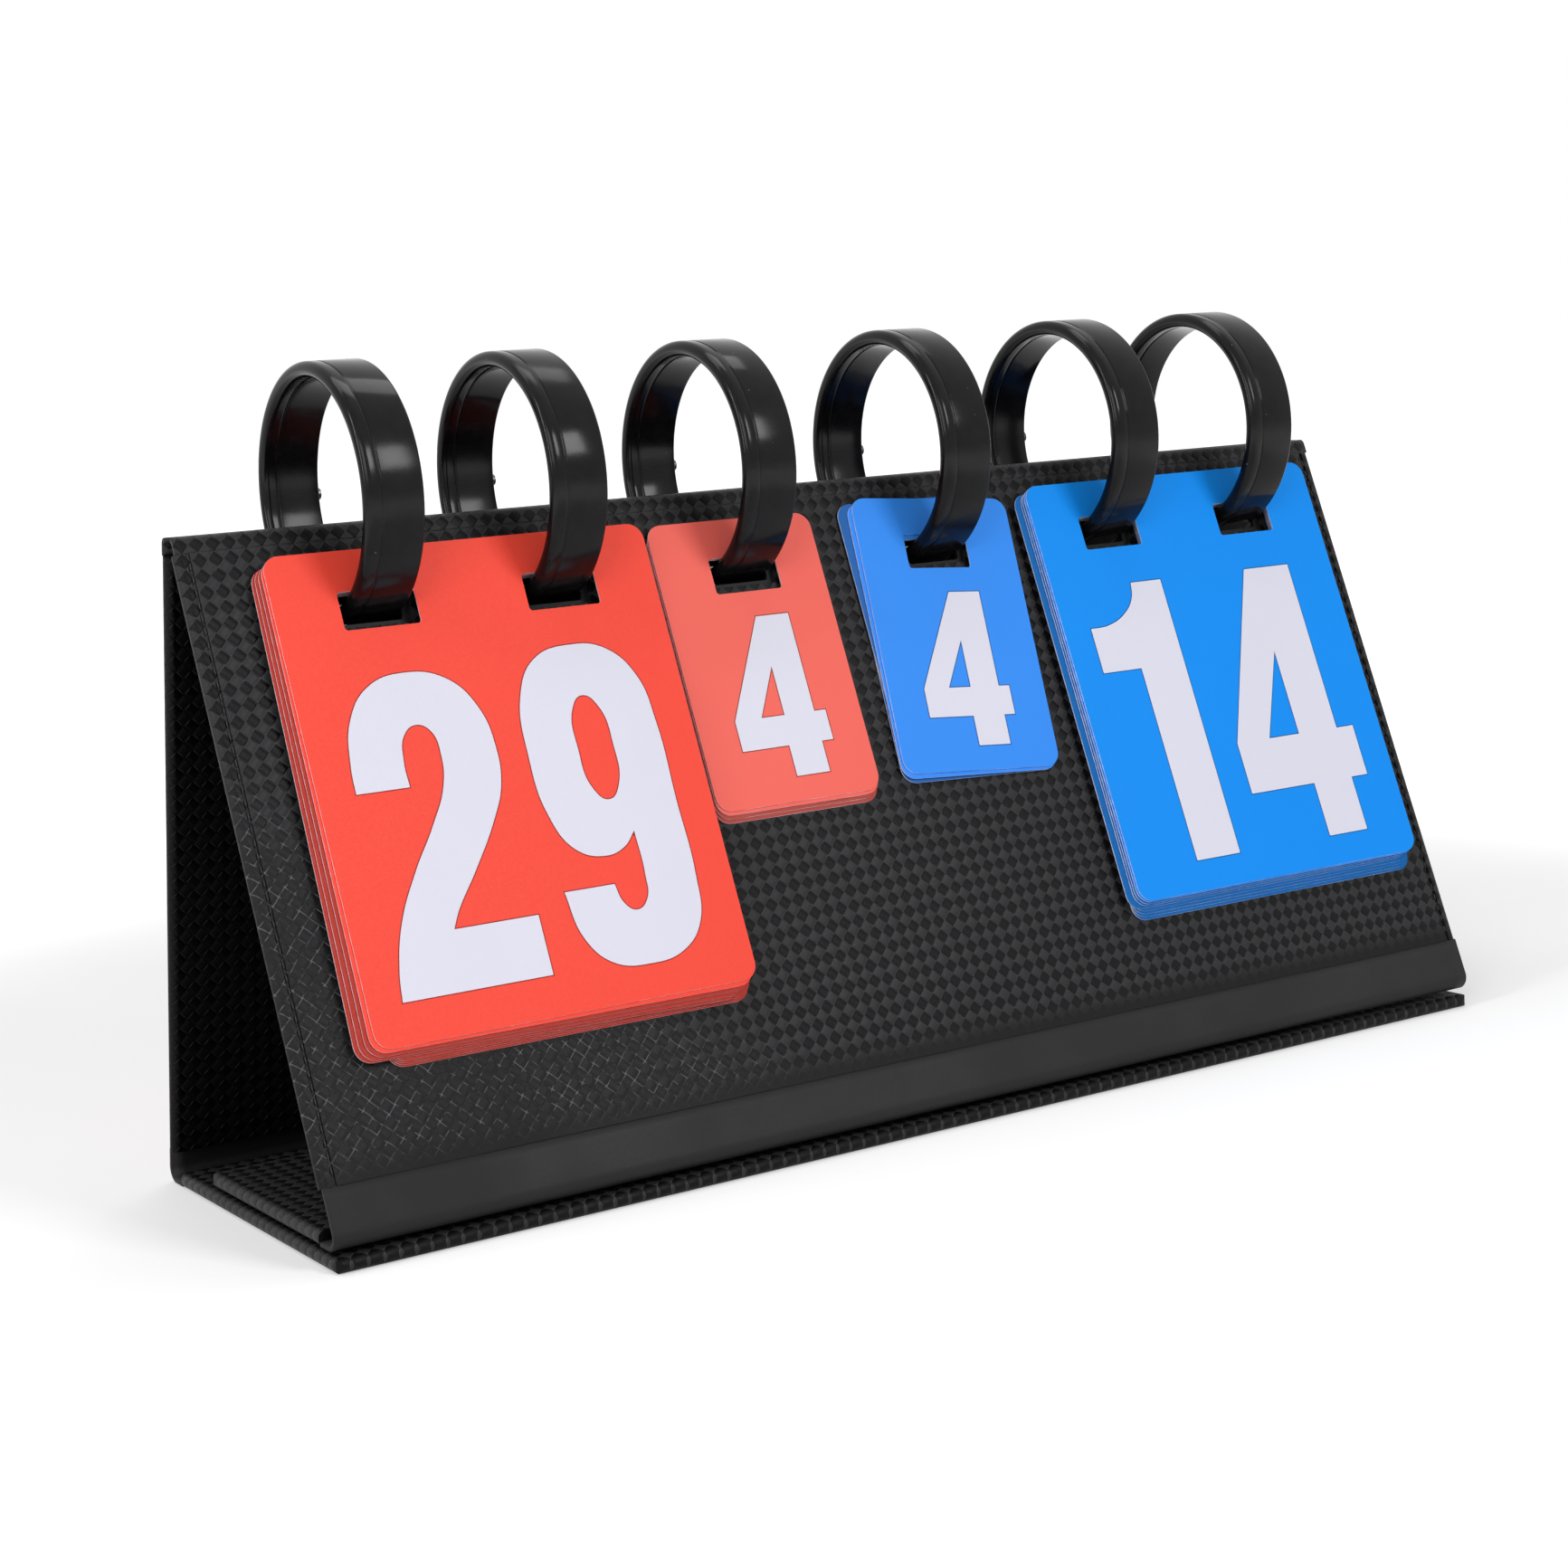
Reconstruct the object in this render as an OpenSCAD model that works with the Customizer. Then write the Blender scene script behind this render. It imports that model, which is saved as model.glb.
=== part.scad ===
// Tabletop flip scoreboard: a folding case of four stiff boards in a welded skin, stood up as a
// tent, with six wide rings through the boards near the ridge and four piles of number cards.
// X runs along the case, the players face the -Y side, Z is up. Millimetres.
// Origin: the middle of the base, on the surface that it stands on.

/* [Case] */
// Depth of the lower base flap, front edge to the back of the rear bend
base_d = 109; // [104:1:116]
// Height of the ridge above the table
ridge_h = 176.4; // [170:0.5:186]
// Place of the ridge's front fold, behind the middle of the base
ridge_front_y = 12.4; // [10:0.2:15]
// Width of the ridge, between its two folds
ridge_w = 7; // [6.5:0.1:8]
// Depth of the upper base flap, from the front bend's middle to its free edge
upper_flap_d = 74; // [60:1:84]
// How far the front bend stands back from the lower flap's front edge
bend_setback = 0.4; // [0:0.1:2]
// Bare case outside each large pile of cards
side_room = 15.4; // [8:0.1:24]

/* [Boards and skins] */
// Thickness of a stiff board
board_t = 2.6; // [2:0.1:3]
// Thickness of one skin, outer cover or lining
skin_t = 0.7; // [0.5:0.05:0.9]
// Width of the welded edge outside a board
weld_w = 4.4; // [3.5:0.1:6]
// Width of the pressed weld line
weld_line_w = 1.1; // [0.6:0.1:1.6]
// Depth of the pressed weld line
weld_line_d = 0.45; // [0.2:0.05:0.6]
// Room round the edge of a board inside its skins
board_room = 0.3; // [0.1:0.05:0.6]
// Outer radius of the front and rear bends
bend_r = 4; // [3.8:0.1:4.6]
// Thickness of a flexible hinge strip, both skins welded flat
hinge_t = 1.2; // [0.9:0.1:1.5]
// How far a hinge strip lies below the outer face of its boards
hinge_recess = 0.4; // [0.2:0.05:0.8]
// Height of the flat hinge band along the foot of the front panel
front_band_h = 11; // [8:0.5:14]
// Width of the flat part of every other hinge strip
flat_band_w = 5; // [4.5:0.5:7]
// Outer radius of the two folds of the ridge
ridge_r = 2; // [1.8:0.1:2.2]
// Flat part of the ridge folds on the panels
ridge_band_w = 3; // [2.5:0.1:4]
// Radius of the corners of a board in plan
corner_r = 3; // [2:0.5:5]
// Air between a hinge strip's end and the skins beside it
strip_air = 0.04; // [0.02:0.01:0.1]

/* [Closure] */
// Thickness of each half of the hook and loop closure
pad_t = 0.6; // [0.4:0.05:1]
// Length of a closure pad along the case
pad_w = 60; // [30:1:90]
// Depth of a closure pad
pad_d = 20; // [12:1:30]
// Distance of the two pads from the middle of the case
pad_x = 110; // [70:1:140]
// Distance of the pads behind the front bend's middle
pad_y = 22; // [14:1:36]
// Room between the closed halves
pad_room = 0.05; // [0.02:0.01:0.1]

/* [Rings] */
// Outer radius of a ring
ring_r = 34.7; // [34:0.1:35.2]
// Radial thickness of a ring
ring_t = 4.2; // [3.8:0.1:4.4]
// Width of a ring along the case
ring_w = 16.4; // [14:0.1:17]
// Height of a ring's centre above the ridge
ring_rise = 7.5; // [7:0.1:8.5]
// Distance of a ring's centre behind the front fold
ring_back = 6.3; // [5.8:0.1:6.8]
// Radius of the long edges of a ring
ring_edge_r = 1.9; // [0.8:0.1:1.9]
// Width of the fine moulding groove round a ring
groove_w = 0.4; // [0.2:0.05:0.6]
// Depth of the moulding groove
groove_d = 0.25; // [0.15:0.05:0.4]
// Distance of the groove from the ring's left edge
groove_in = 4.5; // [3:0.1:6]
// Radius of a ring's hinge pin
pin_r = 1.1; // [0.8:0.05:1.3]
// How far the pin's head stands out of the ring's right edge
pin_head_h = 0.8; // [0.5:0.1:1.2]
// How far the pin's plain end lies inside the ring's left edge
pin_inset = 0.5; // [0.2:0.1:1]
// Radius of the pin's head
pin_head_r = 1.6; // [1.4:0.1:1.8]
// Radius of the hollow in the pin's head
pin_bore_r = 0.7; // [0.4:0.05:0.75]
// Width of the middle knuckle of a ring's hinge
knuckle_w = 6; // [4:0.1:8]
// How far the knuckles stand proud of the band, inside and out
knuckle_proud = 0.15; // [0.1:0.05:0.4]
// Clearance in a ring's hinge and clasp
ring_fit = 0.15; // [0.1:0.05:0.3]
// Length of the clasp's tongue
clasp_l = 4; // [3:0.1:5]
// Width of the clasp's tongue
clasp_w = 8; // [6:0.1:10]
// Thickness of the clasp's tongue
clasp_t = 1.6; // [1.2:0.1:2]

/* [Slots] */
// Width of every ring slot, in the boards and in the cards
slot_w = 21.6; // [20:0.1:23]
// Room above the ring in a board's slot
slot_above = 2.7; // [2:0.1:3.2]
// Room below the ring in the front panel's slots
slot_below = 3; // [2.5:0.1:4]
// Room below the ring in the back panel's slots
back_slot_below = 4.6; // [4:0.1:6]
// Radius of the corners of a slot
slot_r = 1; // [0.5:0.1:2]
// Height of a slot in a card
card_slot_h = 10.4; // [9.6:0.1:12]
// Room between a ring and the top of a card's slot
card_slot_room = 0.4; // [0.3:0.05:0.6]
// Distance between the two rings of a large pile
ring_pitch = 53.4; // [50:0.1:56]

/* [Cards] */
// Width of a large card
large_w = 111.4; // [105:0.1:114]
// Height of a large card
large_h = 129.2; // [115:0.1:132]
// Width of a small card
small_w = 53.6; // [48:0.1:56]
// Height of a small card
small_h = 82.6; // [70:0.1:90]
// Height of the strip above a card's slot
card_strip = 11.1; // [9:0.1:11.6]
// Room between a large pile and the small pile beside it
pile_room = 5.45; // [5:0.05:9]
// Room between the two small piles
middle_room = 13.3; // [10:0.1:20]
// How far the large piles hang to the right of their middle places
large_lie = 5.1; // [-6:0.1:6]
// How far the small piles hang to the right of their middle places
small_lie = 3.55; // [-6:0.05:6]
// Radius of a card's corners
card_r = 4.5; // [2:0.1:7]
// Thickness of a card
card_t = 0.4; // [0.3:0.02:0.45]
// Thickness of a card and the air above it in a pile
card_pitch = 0.5; // [0.47:0.01:0.55]
// Air between the lowest card and the skin
card_air = 0.1; // [0.05:0.01:0.2]
// Cards left below the top card of a large pile at the front
large_front_cards = 8; // [4:1:9]
// Cards left below the top card of a small pile at the front
small_front_cards = 3; // [1:1:5]
// Cards already turned over to the back in each pile
back_cards = 3; // [1:1:4]

/* [Hidden] */
$fn = 96;

cover_black = [0.14, 0.14, 0.15];
lining_black = [0.07, 0.07, 0.08];
board_grey = [0.45, 0.42, 0.38];
ring_black = [0.09, 0.09, 0.1];
pin_steel = [0.6, 0.6, 0.62];
card_red = [1, 0.33, 0.27];
card_blue = [0.1, 0.56, 0.96];
small_blue = [0.23, 0.5, 0.95];
pad_black = [0.05, 0.05, 0.05];

// Thickness of a finished panel, skin, board and skin
panel_t = board_t + 2 * skin_t;
// Middles of the small and the large piles, and the case that holds them
small_x = middle_room / 2 + small_w / 2;
large_x = small_x + small_w / 2 + pile_room + large_w / 2;
case_w = 2 * (large_x + large_w / 2 + side_room);
half_w = case_w / 2;
pad_gap = 2 * pad_t + pad_room;
eps = 0.01;
far = 200;

// Middles of the two bends, and the two top folds where the outer faces would meet
front_bend = [-base_d / 2 + bend_setback + bend_r, panel_t + pad_gap + bend_r];
back_bend = [base_d / 2 - bend_r + hinge_recess, bend_r];
front_fold = [ridge_front_y, ridge_h];
back_fold = [ridge_front_y + ridge_w, ridge_h];

// Lean of a panel from upright and length of its outer face, from its top fold to its bend
function lean(fold, bend) =
    atan(abs(bend[0] - fold[0]) / (fold[1] - bend[1])) + asin(bend_r / norm(fold - bend));
function face_l(fold, bend) = sqrt(pow(norm(fold - bend), 2) - pow(bend_r, 2));
front_lean = lean(front_fold, front_bend);
back_lean = lean(back_fold, back_bend);
front_l = face_l(front_fold, front_bend);
back_l = face_l(back_fold, back_bend);

// Each top fold turns from the flat ridge to its panel: length of face taken up by the round
function fold_turn(a) = 90 - a;
function fold_face(a) = ridge_r * tan(fold_turn(a) / 2);
front_fold_l = fold_face(front_lean);
back_fold_l = fold_face(back_lean);
front_fold_axis = front_fold + [front_fold_l, -ridge_r];
back_fold_axis = back_fold + [-back_fold_l, -ridge_r];
spine_w = back_fold_axis[0] - front_fold_axis[0];

// Where the stiff part of each panel starts and ends, down its outer face
front_top = front_fold_l + ridge_band_w;
front_foot = front_l - front_band_h;
back_top = back_fold_l + ridge_band_w;
back_foot = back_l - flat_band_w;

// Rings: places along the case, one through each small pile and two through each large one
ring_x = [
    -large_x + large_lie - ring_pitch / 2, -large_x + large_lie + ring_pitch / 2,
    -small_x + small_lie, small_x + small_lie,
    large_x + large_lie - ring_pitch / 2, large_x + large_lie + ring_pitch / 2
];
ring_c = front_fold + [ring_back, ring_rise];
ring_in = ring_r - ring_t;
ring_mid = ring_r - ring_t / 2;
// Angles round a ring, from straight down towards the back
pin_angle = 88;
clasp_angle = -10;

// A panel's face sees the ring's centre this far down the face, and this far out of it
function down(fold, a, side) =
    side * (ring_c[0] - fold[0]) * sin(a) - (ring_c[1] - fold[1]) * cos(a);
function out(fold, a, side) =
    side * (ring_c[0] - fold[0]) * cos(a) + (ring_c[1] - fold[1]) * sin(a);
// Distance down the face, at a height above it, where a circle round that centre crosses
function crossing(fold, a, side, r, height) =
    down(fold, a, side) + sqrt(r * r - pow(out(fold, a, side) - height, 2));
front_in = crossing(front_fold, front_lean, -1, ring_in, 0);
front_out = crossing(front_fold, front_lean, -1, ring_r, -panel_t);
back_in = crossing(back_fold, back_lean, 1, ring_in, -panel_t);
back_out = crossing(back_fold, back_lean, 1, ring_r, 0);
// Slots are cut to whole hundredths of a millimetre
function hundredths(x) = round(100 * x) / 100;
front_slot = [hundredths(front_in - slot_above), hundredths(front_out + slot_below)];
back_slot = [hundredths(back_in - slot_above), hundredths(back_out + back_slot_below)];

// Heights of the top cards above the front panel, and where the tops of the cards' slots lie
large_top_n = card_air + large_front_cards * card_pitch;
small_top_n = card_air + small_front_cards * card_pitch;
large_slot_v = crossing(front_fold, front_lean, -1, ring_in, large_top_n + card_t) - card_slot_room;
small_slot_v = crossing(front_fold, front_lean, -1, ring_in, small_top_n + card_t) - card_slot_room;
back_card_slot_v = crossing(back_fold, back_lean, 1, ring_in, 0) - card_slot_room;

// Each kind of card: width, height, rings it hangs on, shift of its middle from theirs, top of
// its slots and turn of its top card
blue_small_turn = 4.6;
red_large = [large_w, large_h, [0, 1], 0, large_slot_v, 0];
red_small = [small_w, small_h, [2], -1.2, small_slot_v, 0];
blue_small = [small_w + 0.8, small_h + 0.3, [3], 0.6, small_slot_v, blue_small_turn];
blue_large = [large_w, large_h, [4, 5], 1.1, large_slot_v, 0];

// How far each front card lies to the right, how far down and how far it is turned, lowest first
function fan(i, n, step, drop) = [step * (n - i), drop * (n - i) / n, 0];
red_large_fan = [for (i = [0 : large_front_cards - 1])
    i < large_front_cards / 2 ? [1.6 - 0.2 * i, 3.4 - 0.2 * i, 0] : [-0.9 * (large_front_cards - i), 0.4, 0]];
red_small_fan = [for (i = [0 : small_front_cards - 1]) fan(i, small_front_cards, -0.2, 3)];
blue_small_fan = [[-2.6, 0.8, 2.6], [-4.1, -1.2, 0.4], [-1.4, 0.4, 4]];
blue_large_fan = [for (i = [0 : large_front_cards - 1]) fan(i, large_front_cards, -0.6, 3.6)];
function fanned(list, i) = list[i % len(list)];

// A rectangle with round corners, its top edge on the X axis, going down
module card_outline(w, h, r) {
    translate([-w / 2 + r, -h]) square([w - 2 * r, h]);
    translate([-w / 2, -h + r]) square([w, h - 2 * r]);
    for (x = [-w / 2 + r, w / 2 - r])
        for (z = [-r, -h + r])
            translate([x, z]) circle(r);
}

// Raises an outline drawn in X and Z to a sheet, from depth y0 to y1 behind the outer face
module sheet(y0, y1)
    translate([0, y1, 0]) rotate([90, 0, 0]) linear_extrude(y1 - y0) children();

// Puts a panel drawn upright, its outer face towards -Y and its top fold at the origin, in place
module on_front()
    translate([0, front_fold[0], front_fold[1]]) rotate([-front_lean, 0, 0]) children();
module on_back()
    translate([0, back_fold[0], back_fold[1]]) rotate([back_lean, 0, 0]) mirror([0, 1, 0]) children();

// The space of a panel from v0 to v1 down its face, with full round left and right edges, and
// a full round lower edge where it is free
module pillow(v0, v1, free) {
    r = panel_t / 2;
    end = free ? v1 - r : v1;
    intersection() {
        translate([0, 0, -v1]) linear_extrude(v1 - v0) {
            translate([-half_w + r, 0]) square([case_w - 2 * r, panel_t]);
            for (x = [-half_w + r, half_w - r])
                translate([x, r]) circle(r);
        }
        rotate([90, 0, 90]) translate([0, 0, -half_w]) linear_extrude(case_w) {
            translate([0, -end]) square([panel_t, end - v0]);
            if (free) translate([r, -end]) circle(r);
        }
        if (free) sheet(-1, panel_t + 1) {
            translate([-half_w, -v1 + corner_r]) square([case_w, v1 - corner_r - v0]);
            translate([-half_w + corner_r, -v1]) square([case_w - 2 * corner_r, v1 - v0]);
            for (x = [-half_w + corner_r, half_w - corner_r])
                translate([x, -v1 + corner_r]) circle(corner_r);
        }
    }
}

// The stiff board's outline, its edges set in by the weld
module board_outline(v0, v1, free, room = 0) {
    foot = free ? v1 - weld_w : v1 - board_room;
    w = case_w - 2 * weld_w + 2 * room;
    translate([-w / 2, -foot - room]) square([w, foot - v0 - board_room + 2 * room]);
}

// Pressed weld line beside the free edges, and across the top and foot of the board
module weld_line(v0, v1, free, y) {
    foot = free ? v1 - weld_w + weld_line_w : v1;
    for (x = [-half_w + weld_w - weld_line_w - board_room, half_w - weld_w + board_room])
        translate([x, y, -foot]) cube([weld_line_w, weld_line_d, foot - v0]);
    if (free)
        translate([-half_w + weld_w, y, -foot]) cube([case_w - 2 * weld_w, weld_line_d, weld_line_w]);
}

// Slots for the rings through a panel
module slots(v) {
    for (x = ring_x)
        translate([x, 0, -v[0]]) sheet(-1, panel_t + 1) card_outline(slot_w, v[1] - v[0], slot_r);
}

// Outer skin of a panel: the front half of the pillow with a pocket for the board
module cover(v0, v1, free) {
    difference() {
        pillow(v0, v1, free);
        translate([-far * 2, panel_t / 2, -far * 2]) cube([far * 4, far, far * 4]);
        sheet(skin_t, panel_t) board_outline(v0, v1, free, board_room);
        weld_line(v0, v1, free, 0);
    }
}

// Inner skin of a panel: the back half of the pillow with the rest of the pocket
module lining(v0, v1, free) {
    difference() {
        pillow(v0, v1, free);
        translate([-far * 2, panel_t / 2 - far, -far * 2]) cube([far * 4, far, far * 4]);
        sheet(0, panel_t - skin_t) board_outline(v0, v1, free, board_room);
    }
}

module board(v0, v1, free)
    sheet(skin_t, panel_t - skin_t) board_outline(v0, v1, free);

// A hinge strip round a bend: middle, outer radius, first and last angle, flat ends before and
// after. Angles run anticlockwise seen from the right, from the direction of the back.
module strip(middle, r, a0, a1, flat0, flat1) {
    half = (a0 + a1) / 2;
    reach = 2 * r;
    translate([-half_w + panel_t / 2, middle[0], middle[1]]) rotate([90, 0, 90])
        linear_extrude(case_w - panel_t) {
            intersection() {
                difference() {
                    circle(r);
                    circle(r - hinge_t);
                }
                polygon([[0, 0], reach * [cos(a0), sin(a0)], reach * [cos(half), sin(half)],
                    reach * [cos(a1), sin(a1)]]);
            }
            if (flat0 > 0) rotate(a0)
                translate([r - hinge_t, strip_air - flat0]) square([hinge_t, flat0 - strip_air + eps]);
            if (flat1 > 0) rotate(a1)
                translate([r - hinge_t, -eps]) square([hinge_t, flat1 - strip_air + eps]);
        }
}

// Lower base flap, flat on the table, outer face down
lower_l = back_bend[0] + base_d / 2;
module in_lower_flap()
    translate([0, back_bend[0], 0]) rotate([90, 0, 0]) mirror([0, 0, 1]) children();
module lower_flap_cover() color(cover_black) in_lower_flap() cover(flat_band_w, lower_l, true);
module lower_flap_lining() color(lining_black) in_lower_flap() lining(flat_band_w, lower_l, true);
module lower_flap_board() color(board_grey) in_lower_flap() board(flat_band_w, lower_l, true);

// Upper base flap, hung from the front bend and running back inside the tent, outer face down
module in_upper_flap()
    translate([0, front_bend[0], front_bend[1] - bend_r]) rotate([90, 0, 0]) children();
module upper_flap_cover() color(cover_black) in_upper_flap() cover(flat_band_w, upper_flap_d, true);
module upper_flap_lining() color(lining_black) in_upper_flap() lining(flat_band_w, upper_flap_d, true);
module upper_flap_board() color(board_grey) in_upper_flap() board(flat_band_w, upper_flap_d, true);

// Hook and loop closure between the two base flaps
module pads(z)
    for (x = [-pad_x, pad_x])
        translate([x - pad_w / 2, front_bend[0] + pad_y, z]) cube([pad_w, pad_d, pad_t]);
module loop_pads() color(pad_black) pads(panel_t);
module hook_pads() color(pad_black) pads(panel_t + pad_t + pad_room);

// Front panel, with the slots cut through all its layers
module front_cover() color(cover_black) on_front() difference() {
    cover(front_top, front_foot, false);
    slots(front_slot);
}
module front_lining() color(lining_black) on_front() difference() {
    lining(front_top, front_foot, false);
    slots(front_slot);
}
module front_board() color(board_grey) on_front() difference() {
    board(front_top, front_foot, false);
    slots(front_slot);
}

// Back panel
module back_cover() color(cover_black) on_back() difference() {
    cover(back_top, back_foot, false);
    slots(back_slot);
}
module back_lining() color(lining_black) on_back() difference() {
    lining(back_top, back_foot, false);
    slots(back_slot);
}
module back_board() color(board_grey) on_back() difference() {
    board(back_top, back_foot, false);
    slots(back_slot);
}

// The ridge: two flat skins between the folds, and the four flexible strips of the folding case
module spine_skin(z)
    translate([-half_w + panel_t / 2, front_fold_axis[0], z])
        cube([case_w - panel_t, spine_w, hinge_t / 2]);
module spine_cover() color(cover_black) spine_skin(ridge_h - hinge_t / 2);
module spine_lining() color(lining_black) spine_skin(ridge_h - hinge_t);
module ridge_front_hinge() color(cover_black)
    strip(front_fold_axis, ridge_r, 90, 180 - front_lean, 0, ridge_band_w);
module ridge_back_hinge() color(cover_black)
    strip(back_fold_axis, ridge_r, back_lean, 90, ridge_band_w, 0);
module front_bend_hinge() color(cover_black)
    strip(front_bend, bend_r - hinge_recess, 180 - front_lean, 270, front_band_h, flat_band_w);
module back_bend_hinge() color(cover_black)
    strip(back_bend, bend_r - hinge_recess, -90, back_lean, flat_band_w, flat_band_w);

// Cross-section of a ring's band: distance from the axis to the right, width upwards
module band_section() {
    e = ring_edge_r;
    difference() {
        translate([ring_in, -ring_w / 2]) {
            translate([e, 0]) square([ring_t - 2 * e, ring_w]);
            translate([0, e]) square([ring_t, ring_w - 2 * e]);
            for (x = [e, ring_t - e])
                for (y = [e, ring_w - e])
                    translate([x, y]) circle(e);
        }
        for (r = [ring_in - eps, ring_r - groove_d])
            translate([r, -ring_w / 2 + groove_in]) square([groove_d + eps, groove_w]);
    }
}

// Stands a ring up at its place: drawn flat, angles run from straight down towards the back
module at_ring(i)
    translate([ring_x[i], ring_c[0], ring_c[1]]) rotate([0, 90, 0]) children();
// A stretch of the band
module arc(a0, a1) rotate([0, 0, a0]) rotate_extrude(angle = a1 - a0) band_section();
// A round bar across the band at the hinge, from z0 to z1
module knuckle(r, z0, z1)
    rotate([0, 0, pin_angle]) translate([ring_mid, 0, z0]) cylinder(h = z1 - z0, r = r);
knuckle_r = ring_t / 2 + knuckle_proud;
knuckle_edge = ring_w / 2 - ring_edge_r;
// The clasp's tongue, and the socket that takes it
module tongue(room) {
    rotate([0, 0, clasp_angle])
        translate([ring_mid - clasp_t / 2 - room, -1, -clasp_w / 2 - room])
            cube([clasp_t + 2 * room, clasp_l + room + 1, clasp_w + 2 * room]);
}

// Long half of a ring: from the pin over the top and down through the front slots to the clasp
module ring_upper(i) color(ring_black) at_ring(i) {
    difference() {
        union() {
            arc(pin_angle, 360 + clasp_angle);
            knuckle(knuckle_r, -knuckle_w / 2, knuckle_w / 2);
        }
        knuckle(knuckle_r + ring_fit, knuckle_w / 2, knuckle_edge);
        knuckle(knuckle_r + ring_fit, -knuckle_edge, -knuckle_w / 2);
        knuckle(pin_r, -ring_w, ring_w);
    }
    tongue(0);
}

// Short half: from the clasp, through the back slots, up to the pin
module ring_lower(i) color(ring_black) at_ring(i) difference() {
    union() {
        arc(clasp_angle, pin_angle);
        knuckle(knuckle_r, knuckle_w / 2 + ring_fit, knuckle_edge);
        knuckle(knuckle_r, -knuckle_edge, -knuckle_w / 2 - ring_fit);
    }
    knuckle(knuckle_r + ring_fit, -knuckle_w / 2 - ring_fit, knuckle_w / 2 + ring_fit);
    knuckle(pin_r, -ring_w, ring_w);
    tongue(ring_fit);
}

// Hinge pin with a hollow head that stands out of the ring's right edge
module ring_pin(i) color(pin_steel) at_ring(i)
    rotate([0, 0, pin_angle]) translate([ring_mid, 0, 0]) difference() {
        union() {
            translate([0, 0, pin_inset - ring_w / 2]) cylinder(h = ring_w - pin_inset, r = pin_r);
            translate([0, 0, ring_w / 2]) cylinder(h = pin_head_h, r = pin_head_r);
        }
        translate([0, 0, ring_w / 2]) cylinder(h = pin_head_h + 1, r = pin_bore_r);
    }

// One card in its panel's frame: its height above the face, where its slot's top lies, and how
// it lies in the pile. The slots stay round the rings.
function middle_x(kind) =
    (ring_x[kind[2][0]] + ring_x[kind[2][len(kind[2]) - 1]]) / 2 + kind[3];
module card(kind, height, slot_v, lie, turn_slots = false) {
    x = middle_x(kind);
    sheet(-height - card_t, -height) difference() {
        translate([x, -slot_v]) rotate(-lie[2])
            translate([lie[0], card_strip - lie[1]]) card_outline(kind[0], kind[1], card_r);
        for (i = kind[2])
            translate([ring_x[i], -slot_v]) rotate(turn_slots ? -lie[2] : 0)
                card_outline(slot_w, card_slot_h, slot_r);
    }
}

// Cards that still lie at the front below the top one
module front_pile(kind, count, lies)
    on_front() for (i = [0 : count - 1])
        card(kind, card_air + i * card_pitch, kind[4], fanned(lies, i));
// Cards already turned over to the back
module back_pile(kind)
    on_back() for (i = [0 : back_cards - 1])
        card(kind, card_air + i * card_pitch, back_card_slot_v, [0.6 * (i - 1), 0.5 * i, 0]);
// The card on top of a front pile, which turns over the rings. Where it hangs turned, one edge
// of its ring holds it.
module top_card(kind, height)
    on_front() card(kind, height, kind[4] - ring_w / 2 * sin(kind[5]), [0, 0, kind[5]], true);

lower_flap_cover();
lower_flap_lining();
lower_flap_board();
loop_pads();
back_cover();
back_lining();
back_board();
back_bend_hinge();
spine_cover();
spine_lining();
ridge_back_hinge();
ridge_front_hinge();
front_cover();
front_lining();
front_board();
upper_flap_cover();
upper_flap_lining();
upper_flap_board();
hook_pads();
front_bend_hinge();
for (i = [0 : len(ring_x) - 1]) {
    ring_upper(i);
    ring_lower(i);
    ring_pin(i);
}
color(card_red) front_pile(red_large, large_front_cards, red_large_fan);  // front_pile_red_large
color(card_red) front_pile(red_small, small_front_cards, red_small_fan);  // front_pile_red_small
color(small_blue) front_pile(blue_small, small_front_cards, blue_small_fan);  // front_pile_blue_small
color(card_blue) front_pile(blue_large, large_front_cards, blue_large_fan);  // front_pile_blue_large
color(card_red) back_pile(red_large);  // back_pile_red_large
color(card_red) back_pile(red_small);  // back_pile_red_small
color(small_blue) back_pile(blue_small);  // back_pile_blue_small
color(card_blue) back_pile(blue_large);  // back_pile_blue_large
color(card_red) top_card(red_large, large_top_n);  // top_card_red_large
color(card_red) top_card(red_small, small_top_n);  // top_card_red_small
color(small_blue) top_card(blue_small, small_top_n);  // top_card_blue_small
color(card_blue) top_card(blue_large, large_top_n);  // top_card_blue_large
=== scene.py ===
"""Looks of a tabletop flip scoreboard: woven leatherette boards, glossy rings and number cards."""

import math

import bmesh
import bpy
from bpy.props import FloatProperty, FloatVectorProperty, PointerProperty
from mathutils import Matrix, Vector


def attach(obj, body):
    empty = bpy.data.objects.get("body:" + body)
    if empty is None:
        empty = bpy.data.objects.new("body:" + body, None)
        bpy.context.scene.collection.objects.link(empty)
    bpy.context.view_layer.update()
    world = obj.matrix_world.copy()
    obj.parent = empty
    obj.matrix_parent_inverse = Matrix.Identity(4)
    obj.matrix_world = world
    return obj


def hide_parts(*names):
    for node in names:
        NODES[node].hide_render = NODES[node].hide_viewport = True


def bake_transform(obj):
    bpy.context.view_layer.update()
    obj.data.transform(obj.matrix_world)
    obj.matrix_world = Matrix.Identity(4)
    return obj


bl_info = {
    "name": "Flip scoreboard",
    "version": (1, 0, 0),
    "blender": (4, 5, 0),
    "location": "View3D > Sidebar > Scoreboard",
    "description": "Dresses a tabletop flip scoreboard in its skins, rings, cards and numbers",
    "category": "Object",
}

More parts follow.
